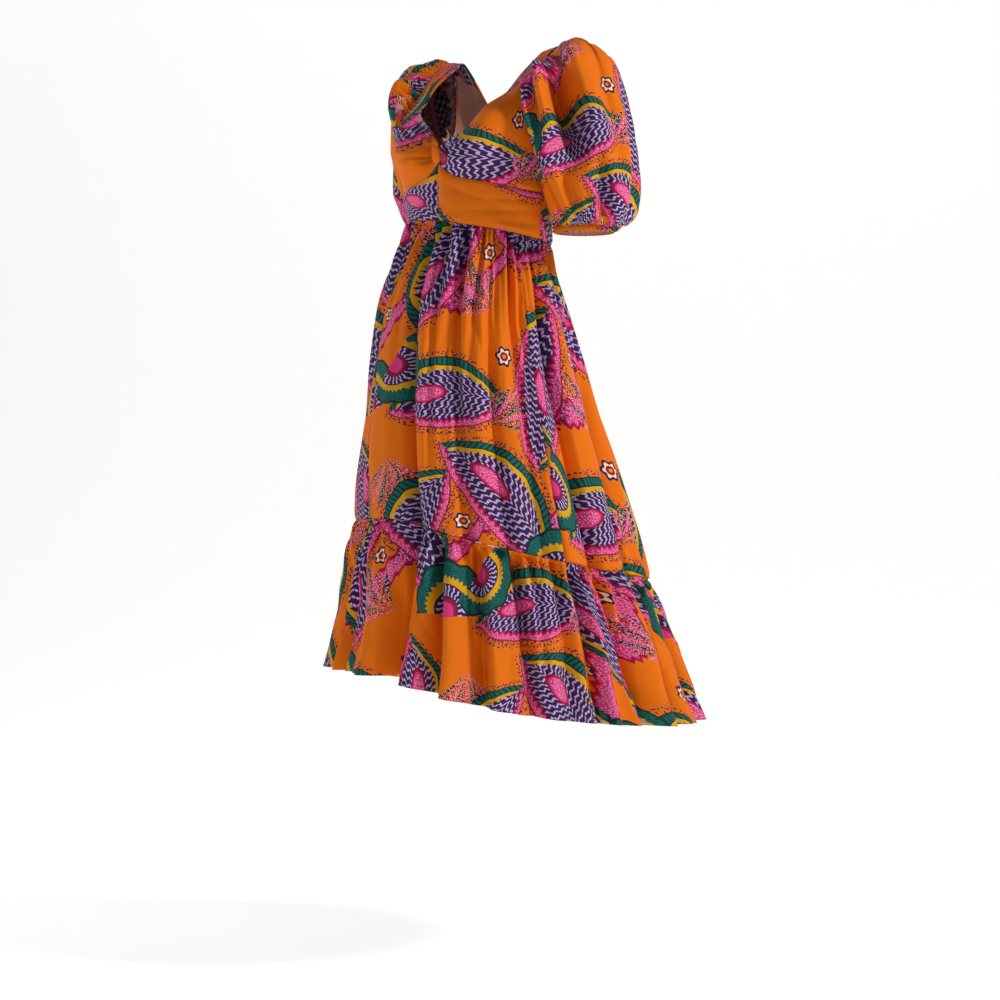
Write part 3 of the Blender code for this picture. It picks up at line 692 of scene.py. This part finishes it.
Panel = namedtuple("Panel", "name start end columns rows cut_width print_x print_y")
SKIRT_PANELS = [
    Panel("skirt_front", -SKIRT_SIDE, SKIRT_SIDE, 256, 156, 0.67, 0.05, 0.11),
    Panel("skirt_back_left", SKIRT_SIDE, 180, 170, 118, 0.63, 0.31, 0.26),
    Panel("skirt_back_right", 180, 360 - SKIRT_SIDE, 170, 118, 0.63, 0.17, 0.38),
]


def panel_place(panel, place, radius, top, bottom):
    """Places on one of a ring of panels, parted from the next by a thread's gap."""
    edge = math.degrees(THREAD_GAP / 2 / radius) / (panel.end - panel.start)

    def panel_shares(across, up):
        return place(mix(panel.start, panel.end, mix(edge, 1 - edge, across)), mix(top, bottom, 1 - up))
    return panel_shares


def panel_flat(panel, length, top_share):
    """Places on the flat cloth of a panel whose print is drawn in at the top by its gathers."""
    def flat(across, up):
        width = panel.cut_width * mix(top_share, 1.0, 1 - up)
        return (panel.print_x + (across - 0.5) * width, panel.print_y + up * length)
    return flat


for panel in SKIRT_PANELS:
    place = panel_place(panel, skirt_place, SKIRT_RADIUS, THREAD_GAP, 1 - THREAD_GAP)
    flat = panel_flat(panel, SKIRT_LENGTH, WAIST_PRINT_SHARE)
    piece = cloth(panel.name, panel.columns, panel.rows, place, level_inward, flat)

# Flounce: a deep ruffle gathered into the skirt's lower seam, with a narrow machine hem.
# It puffs out right below the seam in short puckers and falls in large soft waves.
FLOUNCE_RINGS = [
    Ring(0.00, 0.2580, 0.2730, 0.066),
    Ring(0.06, 0.2680, 0.2840, 0.069),
    Ring(0.20, 0.2820, 0.3020, 0.076),
    Ring(0.45, 0.3000, 0.3220, 0.087),
    Ring(0.72, 0.3150, 0.3410, 0.096),
    Ring(1.00, 0.3360, 0.3680, 0.104),
]
FLOUNCE_FOLDS = [
    Fold(-31, -33, 2.8, 0.012, 0.018),
    Fold(-15, -18, 2.8, 0.010, 0.020),
    Fold(1, 3, 3.0, 0.014, 0.030),
    Fold(20, 18, 2.6, 0.018, 0.016),
    Fold(33, 35, 2.4, 0.010, 0.018),
    Fold(47, 50, 2.4, 0.012, 0.016),
    Fold(70, 72, 2.6, 0.018, 0.026),
    Fold(84, 88, 2.8, 0.012, 0.022),
    Fold(100, 104, 2.8, 0.014, 0.020),
    Fold(117, 121, 2.8, 0.012, 0.024),
    Fold(134, 137, 2.6, 0.014, 0.018),
    Fold(151, 153, 2.8, 0.012, 0.022),
    Fold(171, 170, 3.0, 0.014, 0.026),
    Fold(187, 191, 2.6, 0.012, 0.018),
    Fold(204, 208, 2.8, 0.016, 0.024),
    Fold(223, 226, 2.6, 0.012, 0.018),
    Fold(240, 243, 2.8, 0.014, 0.022),
    Fold(258, 262, 2.8, 0.012, 0.024),
    Fold(276, 279, 2.6, 0.014, 0.018),
    Fold(293, 296, 2.8, 0.012, 0.022),
    Fold(311, 313, 2.6, 0.014, 0.020),
]
FLOUNCE_TROUGHS = [
    Fold(-23, -25, 1.5, 0.024, 0.014),
    Fold(7, 5, 2.1, 0.036, 0.041),
    Fold(19, 20, 1.5, 0.031, 0.014),
    Fold(34, 35, 1.4, 0.022, 0.014),
    Fold(48, 50, 1.5, 0.024, 0.017),
    Fold(71, 72, 1.8, 0.031, 0.034),
    Fold(85, 88, 1.6, 0.029, 0.024),
    Fold(102, 104, 1.6, 0.026, 0.026),
    Fold(119, 121, 1.8, 0.029, 0.031),
    Fold(136, 137, 1.5, 0.024, 0.017),
    Fold(152, 153, 1.6, 0.026, 0.029),
    Fold(170, 170, 1.8, 0.029, 0.031),
    Fold(189, 191, 1.6, 0.026, 0.022),
    Fold(206, 208, 1.6, 0.029, 0.029),
    Fold(225, 226, 1.5, 0.024, 0.022),
    Fold(242, 243, 1.6, 0.026, 0.029),
    Fold(260, 262, 1.8, 0.029, 0.031),
    Fold(278, 279, 1.5, 0.024, 0.022),
    Fold(295, 296, 1.6, 0.026, 0.026),
    Fold(312, 313, 1.5, 0.024, 0.022),
]
FLOUNCE_LENGTH = 0.26
FLOUNCE_RADIUS = 0.28
HEM_RADIUS = 0.30
FLOUNCE_PRINT_SHARE = 0.74
HEM_WAVES = 25
HEM_WAVE_DEPTH = 0.0125
HEM_FOLD = 0.035
RUFFLE_GATHERS = (gather_rows(31, -180, 180, 170, 0.050, 0.0080, 0.55)
                  + gather_rows(32, -180, 180, 70, 0.140, 0.0165, 1.00)
                  + gather_rows(33, -180, 180, 30, 0.420, 0.0200, 2.00))


def flounce_place(angle, down):
    z = mix(level("flounce", angle), level("hem", angle), down)
    run = down * FLOUNCE_LENGTH
    around = np.radians(angle) * 0.30
    moved_in = main_folds(SKIRT_FOLDS, angle, np.ones_like(down)) * (1 - 0.45 * soft_step(down))
    moved_in += main_folds(FLOUNCE_FOLDS, angle, down) + main_folds(FLOUNCE_TROUGHS, angle, down)
    moved_in += gathered(signed(angle), run, RUFFLE_GATHERS, 0.8)
    moved_in += HEM_WAVE_DEPTH * soft_step(down / 0.9) * (1 + uneven_wave(angle, HEM_WAVES, 1.2))
    moved_in += 0.0018 * field(around, run * 0.5, 0.050, 34) * soft_step(down / 0.2)
    moved_in += 0.0018 * creases(around - 0.12 * run, run * 0.4, 0.070, 35) * soft_step(down / 0.3)
    for seam in (-SKIRT_SIDE, SKIRT_SIDE):
        away = np.radians(np.abs(signed(angle - seam))) * FLOUNCE_RADIUS
        moved_in += groove(away)
    moved_in += groove(run) - 0.0010 * np.exp(-((run - 0.012) / 0.008) ** 2)
    return ring_place(FLOUNCE_RINGS, angle, down, moved_in, z)


FLOUNCE_PANELS = [
    Panel("flounce_front", -SKIRT_SIDE, SKIRT_SIDE, 310, 104, 1.08, 0.22, 0.40),
    Panel("flounce_back", SKIRT_SIDE, 360 - SKIRT_SIDE, 440, 84, 1.80, 0.36, 0.15),
]
for panel in FLOUNCE_PANELS:
    place = panel_place(panel, flounce_place, HEM_RADIUS, THREAD_GAP * 2, 1.0)
    flat = panel_flat(panel, FLOUNCE_LENGTH, FLOUNCE_PRINT_SHARE)
    piece = cloth(panel.name, panel.columns, panel.rows, place, level_inward, flat, folds=(0, 0, HEM_FOLD, 0))

# Midriff: two shaped panels between the cup seam and the waist seam, joined at the centre front.
# The poplin is cut on the bias here, so soft drag lines run across from the side seams.
SIDES = ((1, "left"), (-1, "right"))
Seam = namedtuple("Seam", "angle z")
CUP_SEAM = [
    Seam(0, -0.2100),
    Seam(6, -0.2270),
    Seam(15, -0.2385),
    Seam(37, -0.2494),
    Seam(59, -0.2600),
    Seam(90, -0.2680),
]
CUP_SEAM_HALF_WIDTH = 0.1500
CUP_SEAM_HALF_DEPTH = 0.1065
CUP_SEAM_CENTRE_Y = 0.0040
FLAT_FRONT = 0.86
Drag = namedtuple("Drag", "up_centre up_side half_width depth start end")
MIDRIFF_DRAGS = [
    Drag(0.20, 0.62, 0.10, 0.0022, 0.15, 1.00),
    Drag(0.52, 0.80, 0.08, 0.0018, 0.30, 1.00),
    Drag(0.80, 0.30, 0.09, 0.0020, 0.05, 0.70),
    Drag(0.05, 0.30, 0.08, 0.0018, 0.45, 1.00),
]
MIDRIFF_WIDTH = 0.21
MIDRIFF_DROP = 0.07
MIDRIFF_PRINT = {"left": (0.335, 0.440), "right": (0.30, 0.63)}


def waist_place(angle):
    nothing = np.zeros_like(angle)
    return ring_place(SKIRT_RINGS, angle, nothing, nothing, level("waist", angle))


def cup_seam_place(angle):
    turn = np.radians(angle)
    forward = np.maximum(np.cos(turn), 0.0) ** FLAT_FRONT
    return np.stack((CUP_SEAM_HALF_WIDTH * np.sin(turn), CUP_SEAM_CENTRE_Y - CUP_SEAM_HALF_DEPTH * forward,
                     read(CUP_SEAM, "z", angle)), axis=1)


def bodice_inward(points):
    rise = soft_step((points[:, 2] + 0.10) / 0.09)
    centre = np.stack((points[:, 0] * 0.86 * rise, mix(0.010, 0.050, rise),
                       np.minimum(points[:, 2], -0.100)), axis=1)
    return unit(centre - points)


def midriff_maker(side):
    def place(across, up):
        low = waist_place(side * 90 * across)
        high = cup_seam_place(90 * across)
        high[:, 0] *= side
        points = mix(low, high, mix(0.003, 0.997, up)[:, None])
        points[:, 0] += side * THREAD_GAP / 2
        moved_in = groove(across * MIDRIFF_WIDTH) + groove((1 - across) * MIDRIFF_WIDTH)
        moved_in += groove(up * MIDRIFF_DROP) + groove((1 - up) * MIDRIFF_DROP)
        for drag in MIDRIFF_DRAGS:
            past = (across - drag.start) / (drag.end - drag.start)
            away = (up - mix(drag.up_centre, drag.up_side, across)) / drag.half_width
            moved_in += drag.depth * np.sin(np.pi * np.clip(past, 0, 1)) ** 0.7 * np.exp(-np.abs(away) ** 1.6)
        moved_in += 0.0008 * field(across * MIDRIFF_WIDTH, up * MIDRIFF_DROP, 0.035, 41 + side)
        return points + bodice_inward(points) * moved_in[:, None]
    return place


for side, label in SIDES:
    def flat(across, up, side=side, corner=MIDRIFF_PRINT[label]):
        return (corner[0] + side * across * 0.195, corner[1] + up * 0.086)

    piece = cloth("midriff_" + label, 84, 44, midriff_maker(side), bodice_inward, flat)

# Cups: two draped front panels that meet under the knot, gathered into it from the cup seam and neck edge.
# The neck edge is turned under once and stitched, and runs up to the shoulder seam.
Edge = namedtuple("Edge", "up x y z")
ARMPIT_UP = 0.28
CUP_INNER = [
    Edge(0.00, 0.0000, -0.1025, -0.2100),
    Edge(0.10, 0.0000, -0.0990, -0.1870),
    Edge(0.28, 0.0430, -0.0740, -0.1520),
    Edge(0.45, 0.0740, -0.0690, -0.1230),
    Edge(0.62, 0.0970, -0.0300, -0.0910),
    Edge(0.80, 0.1005, 0.0020, -0.0570),
    Edge(0.92, 0.0980, 0.0370, -0.0280),
    Edge(1.00, 0.0955, 0.0640, -0.0090),
]
CUP_OUTER = [
    Edge(0.00, 0.1500, 0.0040, -0.2680),
    Edge(0.28, 0.1515, 0.0080, -0.2070),
    Edge(0.45, 0.1450, -0.0190, -0.1650),
    Edge(0.62, 0.1390, -0.0230, -0.1150),
    Edge(0.80, 0.1365, 0.0040, -0.0600),
    Edge(0.92, 0.1355, 0.0370, -0.0230),
    Edge(1.00, 0.1345, 0.0640, -0.0030),
]
CUP_WIDTH = 0.13
CUP_DROP = 0.24
CUP_SWELL = 0.046
CUP_SWELL_UP = 0.22
CUP_FORWARD = np.array((0.10, -0.99, 0.0))
KNOT_CENTRE = np.array((0.0, -0.1010, -0.1990))
Ray = namedtuple("Ray", "bearing half_width depth reach")
CUP_RAYS = [
    Ray(-17, 7.0, 0.0125, 0.062),
    Ray(-2, 6.5, 0.0150, 0.098),
    Ray(13, 6.5, 0.0120, 0.072),
    Ray(27, 7.0, 0.0150, 0.108),
    Ray(40, 6.0, 0.0120, 0.078),
]
CUP_PRINT = {"left": (0.12, 0.33), "right": (0.545, 0.45)}


def edge_place(rows, up):
    return np.stack([read(rows, column, up) for column in "xyz"], axis=1)


def outer_edge(rows, armpit_up, up):
    """Places on a panel's outer edge: straight stretches up the side seam, then the curved armhole."""
    low = [row for row in rows if row.up <= armpit_up]
    high = [row for row in rows if row.up >= armpit_up]
    shares = [row.up for row in low]
    straight = np.stack([np.interp(up, shares, [getattr(row, c) for row in low]) for c in "xyz"], axis=1)
    return np.where((up > armpit_up)[:, None], edge_place(high, up), straight)


def shoulder_seam(inner, outer):
    """Straight seam between the upper ends of two edges."""
    inner_end, outer_end = (np.array((rows[-1].x, rows[-1].y, rows[-1].z)) for rows in (inner, outer))
    return lambda share: mix(inner_end, outer_end, share[:, None])


def spanned(low, high, inner, outer, across, up):
    """Places on a panel spanned between its four edges."""
    zero, one = np.zeros_like(up), np.ones_like(up)
    a, u = across[:, None], up[:, None]
    ruled = mix(low(across), high(across), u) + mix(inner(up), outer(up), a)
    return ruled - mix(mix(low(zero), low(one), a), mix(high(zero), high(one), a), u)


def cup_maker(side):
    def place(across, up):
        up = mix(0.002, 0.9985, up)
        points = spanned(lambda share: cup_seam_place(90 * share), shoulder_seam(CUP_INNER, CUP_OUTER),
                         lambda share: edge_place(CUP_INNER, share),
                         lambda share: outer_edge(CUP_OUTER, ARMPIT_UP, share), across, up)
        from_knot = points - KNOT_CENTRE
        reach = np.linalg.norm(from_knot, axis=1)
        clear = soft_step((reach - 0.012) / 0.030)
        swell = 9.48 * across * (1 - across) ** 3 * (up / CUP_SWELL_UP * np.exp(1 - up / CUP_SWELL_UP)) ** 2
        bearing = np.degrees(np.arctan2(from_knot[:, 2], from_knot[:, 0] + 0.004))
        moved_in = np.zeros_like(across)
        for ray in CUP_RAYS:
            away = np.abs(bearing - ray.bearing) / ray.half_width
            fade = soft_step((reach - 0.008) / 0.02) * np.clip(1 - reach / ray.reach, 0, 1)
            moved_in += ray.depth * fade * np.exp(-away ** 1.5)
        moved_in += 0.0009 * field(across * 0.17, up * 0.22, 0.05, 51 + side) * clear
        points = points + CUP_FORWARD * (CUP_SWELL * swell * clear - moved_in)[:, None]
        edges = groove(across * CUP_WIDTH) * 0.6 * soft_step(np.minimum(up - 0.1, 1 - up) / 0.04)
        edges += groove(up * CUP_DROP)
        edges += np.maximum(groove((1 - across) * CUP_WIDTH), groove((1 - up) * CUP_DROP))
        points = points + bodice_inward(points) * (edges * clear)[:, None]
        points[:, 0] = side * (points[:, 0] + THREAD_GAP / 2 * (1 - across))
        return points
    return place


for side, label in SIDES:
    def flat(across, up, side=side, corner=CUP_PRINT[label]):
        return (corner[0] + side * (across * 0.15 + up * 0.05), corner[1] + up * 0.26 - across * 0.04)

    piece = cloth("front_cup_" + label, 84, 96, cup_maker(side), bodice_inward, flat, folds=(0.03, 0, 0, 0))

# Knot: the ends of both cups wrapped over each other at the centre front and caught down.
# Small upright pleats run round the wrap.
KNOT_SIZE = np.array((0.0105, 0.0060, 0.0150))
knot_ball = bmesh.new()
bmesh.ops.create_uvsphere(knot_ball, u_segments=64, v_segments=40, radius=1.0)
knot_mesh = as_mesh(knot_ball, "centre_knot")
balls = np.empty(len(knot_mesh.vertices) * 3)
knot_mesh.vertices.foreach_get("co", balls)
balls = balls.reshape(-1, 3)
pleats = 1 + 0.10 * np.cos(9 * np.arctan2(balls[:, 2] * 0.5, balls[:, 0] + 0.3)) * (1 - balls[:, 2] ** 2)
waisted = 1 - 0.16 * np.exp(-(balls[:, 2] / 0.30) ** 2)
knot_x = balls[:, 0] * KNOT_SIZE[0] * waisted
knot_z = balls[:, 2] * KNOT_SIZE[2]
knot_y = -0.0040 - 0.13 * knot_z - np.maximum(-balls[:, 1], 0) * KNOT_SIZE[1] * pleats * waisted
knot_points = np.stack((knot_x, knot_y, knot_z), axis=1) + KNOT_CENTRE + WAIST_FROM_SHOULDERS
knot_mesh.vertices.foreach_set("co", knot_points.ravel())
knot_mesh.update()
keep_flat(knot_mesh, np.stack((0.50 + knot_x * 1.4, 0.48 + knot_z * 1.4), axis=1))
knot_mesh.shade_smooth()
knot = stand("centre_knot", knot_mesh)
knot.data.materials.append(printed_face)
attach(knot, "root")
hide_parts("centre_knot")

# Back bodice: two panels joined by the closed centre back seam, from the waist to a low round back neck.
# Plain and lightly eased, with a turned neck edge.
BACK_ARMPIT_UP = 0.42
BACK_NECK_UP = 0.56
BACK_WIDTH = 0.14
BACK_DROP = 0.32
BACK_INNER = [
    Edge(0.00, 0.0000, 0.1050, -0.3430),
    Edge(0.20, 0.0000, 0.1090, -0.2750),
    Edge(0.42, 0.0000, 0.1170, -0.2000),
    Edge(0.56, 0.0000, 0.1230, -0.1500),
    Edge(0.61, 0.0270, 0.1235, -0.1470),
    Edge(0.67, 0.0460, 0.1220, -0.1350),
    Edge(0.76, 0.0640, 0.1170, -0.1110),
    Edge(0.88, 0.0860, 0.0980, -0.0580),
    Edge(1.00, 0.0955, 0.0646, -0.0090),
]
BACK_OUTER = [
    Edge(0.00, 0.1450, 0.0000, -0.3270),
    Edge(0.21, 0.1500, 0.0040, -0.2680),
    Edge(0.42, 0.1515, 0.0080, -0.2070),
    Edge(0.56, 0.1460, 0.0560, -0.1720),
    Edge(0.74, 0.1410, 0.0860, -0.1130),
    Edge(0.88, 0.1370, 0.0840, -0.0480),
    Edge(1.00, 0.1345, 0.0646, -0.0030),
]


def back_maker(side):
    def low(share):
        points = waist_place(side * (180 - 90 * share))
        points[:, 0] *= side
        return points

    def outer(share):
        points = outer_edge(BACK_OUTER, BACK_ARMPIT_UP, share)
        points[:, 2] -= side * SIDE_DROP * points[:, 0] * (1 - np.clip(share / BACK_OUTER[1].up, 0, 1))
        return points

    def place(across, up):
        up = mix(0.001, 0.999, up)
        points = spanned(low, shoulder_seam(BACK_INNER, BACK_OUTER),
                         lambda share: edge_place(BACK_INNER, share), outer, across, up)
        moved_in = groove(across * BACK_WIDTH) * soft_step((BACK_NECK_UP - up) / 0.03)
        moved_in += groove(up * BACK_DROP)
        moved_in += np.maximum(groove((1 - across) * BACK_WIDTH), groove((1 - up) * BACK_DROP))
        off_armhole = soft_step((1 - across) / 0.15)
        moved_in += 0.0013 * off_armhole * field(across * 0.15, up * BACK_DROP, 0.06, 61 + side)
        moved_in += 0.0012 * off_armhole * creases(across * 0.15 + up * 0.1, up * 0.2, 0.08, 63 + side)
        points = points + bodice_inward(points) * moved_in[:, None]
        points[:, 0] = side * (points[:, 0] + THREAD_GAP / 2 * (1 - across))
        return points
    return place


for side, label in SIDES:
    def flat(across, up, side=side):
        return (0.30 - side * (across * 0.15), 0.22 + up * 0.34)

    piece = cloth("back_bodice_" + label, 64, 88, back_maker(side), bodice_inward, flat)

# Puff sleeves: full half-length sleeves gathered into the armholes and into narrow cuffs.
# Deep folds fall from the cap gathers, and short ones rise from the cuff.
Puff = namedtuple("Puff", "round reach lift")
PUFF_ROUND = [
    Puff(0.00, 0.000, 0.000),
    Puff(0.12, 0.022, 0.006),
    Puff(0.25, 0.046, 0.028),
    Puff(0.37, 0.074, 0.026),
    Puff(0.50, 0.096, 0.010),
    Puff(0.63, 0.082, 0.028),
    Puff(0.75, 0.056, 0.030),
    Puff(0.88, 0.026, 0.008),
    Puff(1.00, 0.000, 0.000),
]
Drape = namedtuple("Drape", "along drop out rise")
PUFF_ALONG = [
    Drape(0.00, 0.00, 0.00, 0.00),
    Drape(0.07, -0.01, 0.32, 0.62),
    Drape(0.16, 0.01, 0.66, 1.00),
    Drape(0.30, 0.13, 0.95, 0.78),
    Drape(0.46, 0.37, 1.02, 0.24),
    Drape(0.63, 0.66, 0.89, 0.00),
    Drape(0.78, 0.91, 0.60, 0.00),
    Drape(0.90, 1.01, 0.29, 0.00),
    Drape(0.97, 1.02, 0.10, 0.00),
    Drape(1.00, 1.00, 0.00, 0.00),
]
PuffFold = namedtuple("PuffFold", "round half_width depth start end steepness")
PUFF_FOLDS = [
    PuffFold(0.392, 0.033, 0.095, 0.04, 0.66, 4.0),
    PuffFold(0.300, 0.024, 0.024, 0.03, 0.55, 2.0),
    PuffFold(0.345, 0.020, 0.022, 0.34, 0.99, 2.0),
    PuffFold(0.490, 0.024, 0.022, 0.08, 0.75, 2.0),
    PuffFold(0.438, 0.018, 0.030, 0.52, 0.99, 2.0),
    PuffFold(0.200, 0.030, 0.018, 0.25, 0.97, 2.0),
    PuffFold(0.260, 0.016, 0.018, 0.40, 0.99, 2.0),
    PuffFold(0.560, 0.028, 0.024, 0.24, 0.99, 2.0),
    PuffFold(0.620, 0.018, 0.016, 0.05, 0.55, 2.0),
    PuffFold(0.670, 0.034, 0.024, 0.06, 0.70, 2.0),
    PuffFold(0.740, 0.018, 0.016, 0.35, 0.99, 2.0),
    PuffFold(0.800, 0.032, 0.020, 0.30, 0.97, 2.0),
]
SLEEVE_PRINT = {"left": (0.255, 0.60), "right": (0.20, 0.30)}
WIDEST_ALONG = 0.46
FAR_SLEEVE_FOLD = 0.022
CUFF_CENTRE = np.array((0.2060, 0.0430, -0.3260))
CUFF_RADIUS = 0.0475
OFF_BODY = 0.22
RIGHT_SWING = np.array((0.0, 0.1120, 0.0120))
SLEEVE_TOP_CENTRE = np.array((0.1800, 0.0420, -0.0800))
SLEEVE_LOW_CENTRE = np.array((0.2060, 0.0430, -0.3000))
SLEEVE_LENGTH = 0.34
CAP_GATHERS = (gather_rows(71, 0.08, 0.92, 46, 0.070, 0.0075, 0.0055)
               + gather_rows(72, 0.06, 0.94, 20, 0.160, 0.0130, 0.0100))
CUFF_GATHERS = (gather_rows(73, 0.02, 0.98, 46, 0.050, 0.0055, 0.0050)
                + gather_rows(74, 0.02, 0.98, 20, 0.120, 0.0110, 0.0100))


def cuff_centre(side):
    centre = CUFF_CENTRE * np.array((side, 1, 1))
    return centre + RIGHT_SWING if side < 0 else centre


def round_cuff(side, share):
    turn = 2 * np.pi * share
    return np.stack((-side * np.cos(turn), -np.sin(turn), np.zeros_like(share)), axis=1)


def armhole_place(side, share):
    front = outer_edge(CUP_OUTER, ARMPIT_UP, mix(ARMPIT_UP, 1.0, np.clip(share * 2, 0, 1)))
    back = outer_edge(BACK_OUTER, BACK_ARMPIT_UP, mix(1.0, BACK_ARMPIT_UP, np.clip(share * 2 - 1, 0, 1)))
    points = np.where((share < 0.5)[:, None], front, back)
    points[:, 0] *= side
    return points


def sleeve_form(side, share, along):
    """Places on the smooth sleeve, by shares of the way round and from armhole to cuff."""
    start = armhole_place(side, share)
    direction = round_cuff(side, share)
    direction[:, 0] = side * np.maximum(side * direction[:, 0], OFF_BODY)
    end = cuff_centre(side) + round_cuff(side, share) * CUFF_RADIUS
    out = read(PUFF_ROUND, "reach", share) * read(PUFF_ALONG, "out", along)
    points = mix(start, end, read(PUFF_ALONG, "drop", along)[:, None]) + direction * out[:, None]
    points[:, 2] += read(PUFF_ROUND, "lift", share) * read(PUFF_ALONG, "rise", along)
    points[:, 0] += side * THREAD_GAP / 3 * (1 - along)
    return points


def form_normal(form, side, share, along, way_in):
    """Outward direction of a smooth form, from places a little to each side."""
    little = 2e-3
    ahead, behind = np.minimum(share + little, 1), np.maximum(share - little, 0)
    lower, upper = np.minimum(along + little, 1), np.maximum(along - little, 0)
    round_way = form(side, ahead, along) - form(side, behind, along)
    normal = np.cross(round_way, form(side, share, lower) - form(side, share, upper))
    normal /= np.linalg.norm(normal, axis=1)[:, None] + 1e-12
    return -normal * np.sign((normal * way_in).sum())


def measured(points):
    """Length along a line of places, up to each of them."""
    return np.concatenate(([0.0], np.cumsum(np.linalg.norm(np.diff(points, axis=0), axis=1))))


def sleeve_maker(side):
    def place(share, up):
        along = mix(0.0015, 0.9985, 1 - up)
        run = along * SLEEVE_LENGTH
        body_side = soft_step(np.minimum(share, 1 - share) / 0.16)
        moved_in = gathered(share, run, CAP_GATHERS, 1.0) * body_side
        moved_in += gathered(share, SLEEVE_LENGTH - run, CUFF_GATHERS, 0.9)
        for fold in PUFF_FOLDS:
            middle = np.clip((along - fold.start) / (fold.end - fold.start), 0, 1)
            away = np.abs(share - fold.round) / fold.half_width
            depth = fold.depth if side > 0 else min(fold.depth, FAR_SLEEVE_FOLD)
            moved_in += depth * np.sin(np.pi * middle) * np.exp(-away ** fold.steepness)
        moved_in += 0.0020 * field(share * 0.55, run * 0.5, 0.050, 75 + side) * soft_step(along / 0.2)
        moved_in += 0.0020 * creases(share * 0.55, run * 0.5, 0.070, 77 + side) * soft_step(along / 0.2)
        moved_in *= soft_step(along / 0.03) * soft_step((1 - along) / 0.03)
        points = sleeve_form(side, share, along)
        outwards = form_normal(sleeve_form, side, share, along, sleeve_inward(side)(points))
        return points - outwards * moved_in[:, None] + bodice_inward(points) * groove(run)[:, None]
    return place


def sleeve_inward(side):
    def inward(points):
        z = np.clip(points[:, 2], SLEEVE_LOW_CENTRE[2], SLEEVE_TOP_CENTRE[2])
        share = ((SLEEVE_TOP_CENTRE[2] - z) / (SLEEVE_TOP_CENTRE[2] - SLEEVE_LOW_CENTRE[2]))[:, None]
        centre = mix(SLEEVE_TOP_CENTRE, SLEEVE_LOW_CENTRE, share) * np.array((side, 1, 1))
        if side < 0:
            centre = centre + RIGHT_SWING * share
        centre[:, 2] = z
        return unit(centre - points)
    return inward


def sleeve_flat(side, corner):
    """Places on the flat cloth, by real lengths round the smooth sleeve and down it."""
    steps = np.linspace(0, 1, 200)
    round_length = measured(sleeve_form(side, steps, np.full(200, WIDEST_ALONG)))
    down_length = measured(sleeve_form(side, np.full(200, 0.5), steps))

    def flat(share, up):
        round_way = np.interp(share, steps, round_length - round_length[-1] / 2)
        return (corner[0] + side * round_way, corner[1] - np.interp(1 - up, steps, down_length))
    return flat


for side, label in SIDES:
    piece = cloth("sleeve_" + label, 200, 112, sleeve_maker(side), sleeve_inward(side),
                  sleeve_flat(side, SLEEVE_PRINT[label]), top_inward=bodice_inward)

# Cuffs: narrow bands of poplin shirred over elastic, with small even gathers and a soft lower edge.
CUFF_HEIGHT = 0.0100
CUFF_FLARE = 0.0015
CUFF_RIDGES = 36


def cuff_maker(side):
    def place(share, up):
        down = 1 - up
        ripple = 0.5 + 0.5 * np.sin(2 * np.pi * CUFF_RIDGES * share + 1.5 * np.sin(2 * np.pi * 5 * share))
        radius = CUFF_RADIUS + down * CUFF_FLARE + 0.0024 * ripple + 0.0010 * np.sin(np.pi * down)
        points = cuff_centre(side) + round_cuff(side, share) * radius[:, None]
        points[:, 2] -= THREAD_GAP + CUFF_HEIGHT * down
        return points
    return place


def cuff_inward(side):
    def inward(points):
        way = cuff_centre(side) - points
        way[:, 2] = 0
        return unit(way)
    return inward


for side, label in SIDES:
    def flat(share, up, side=side):
        return (0.30 + side * (share - 0.5) * 0.34, 0.46 + up * 0.014)

    piece = cloth("cuff_" + label, 220, 12, cuff_maker(side), cuff_inward(side), flat, folds=(0, 0, 0.15, 0))
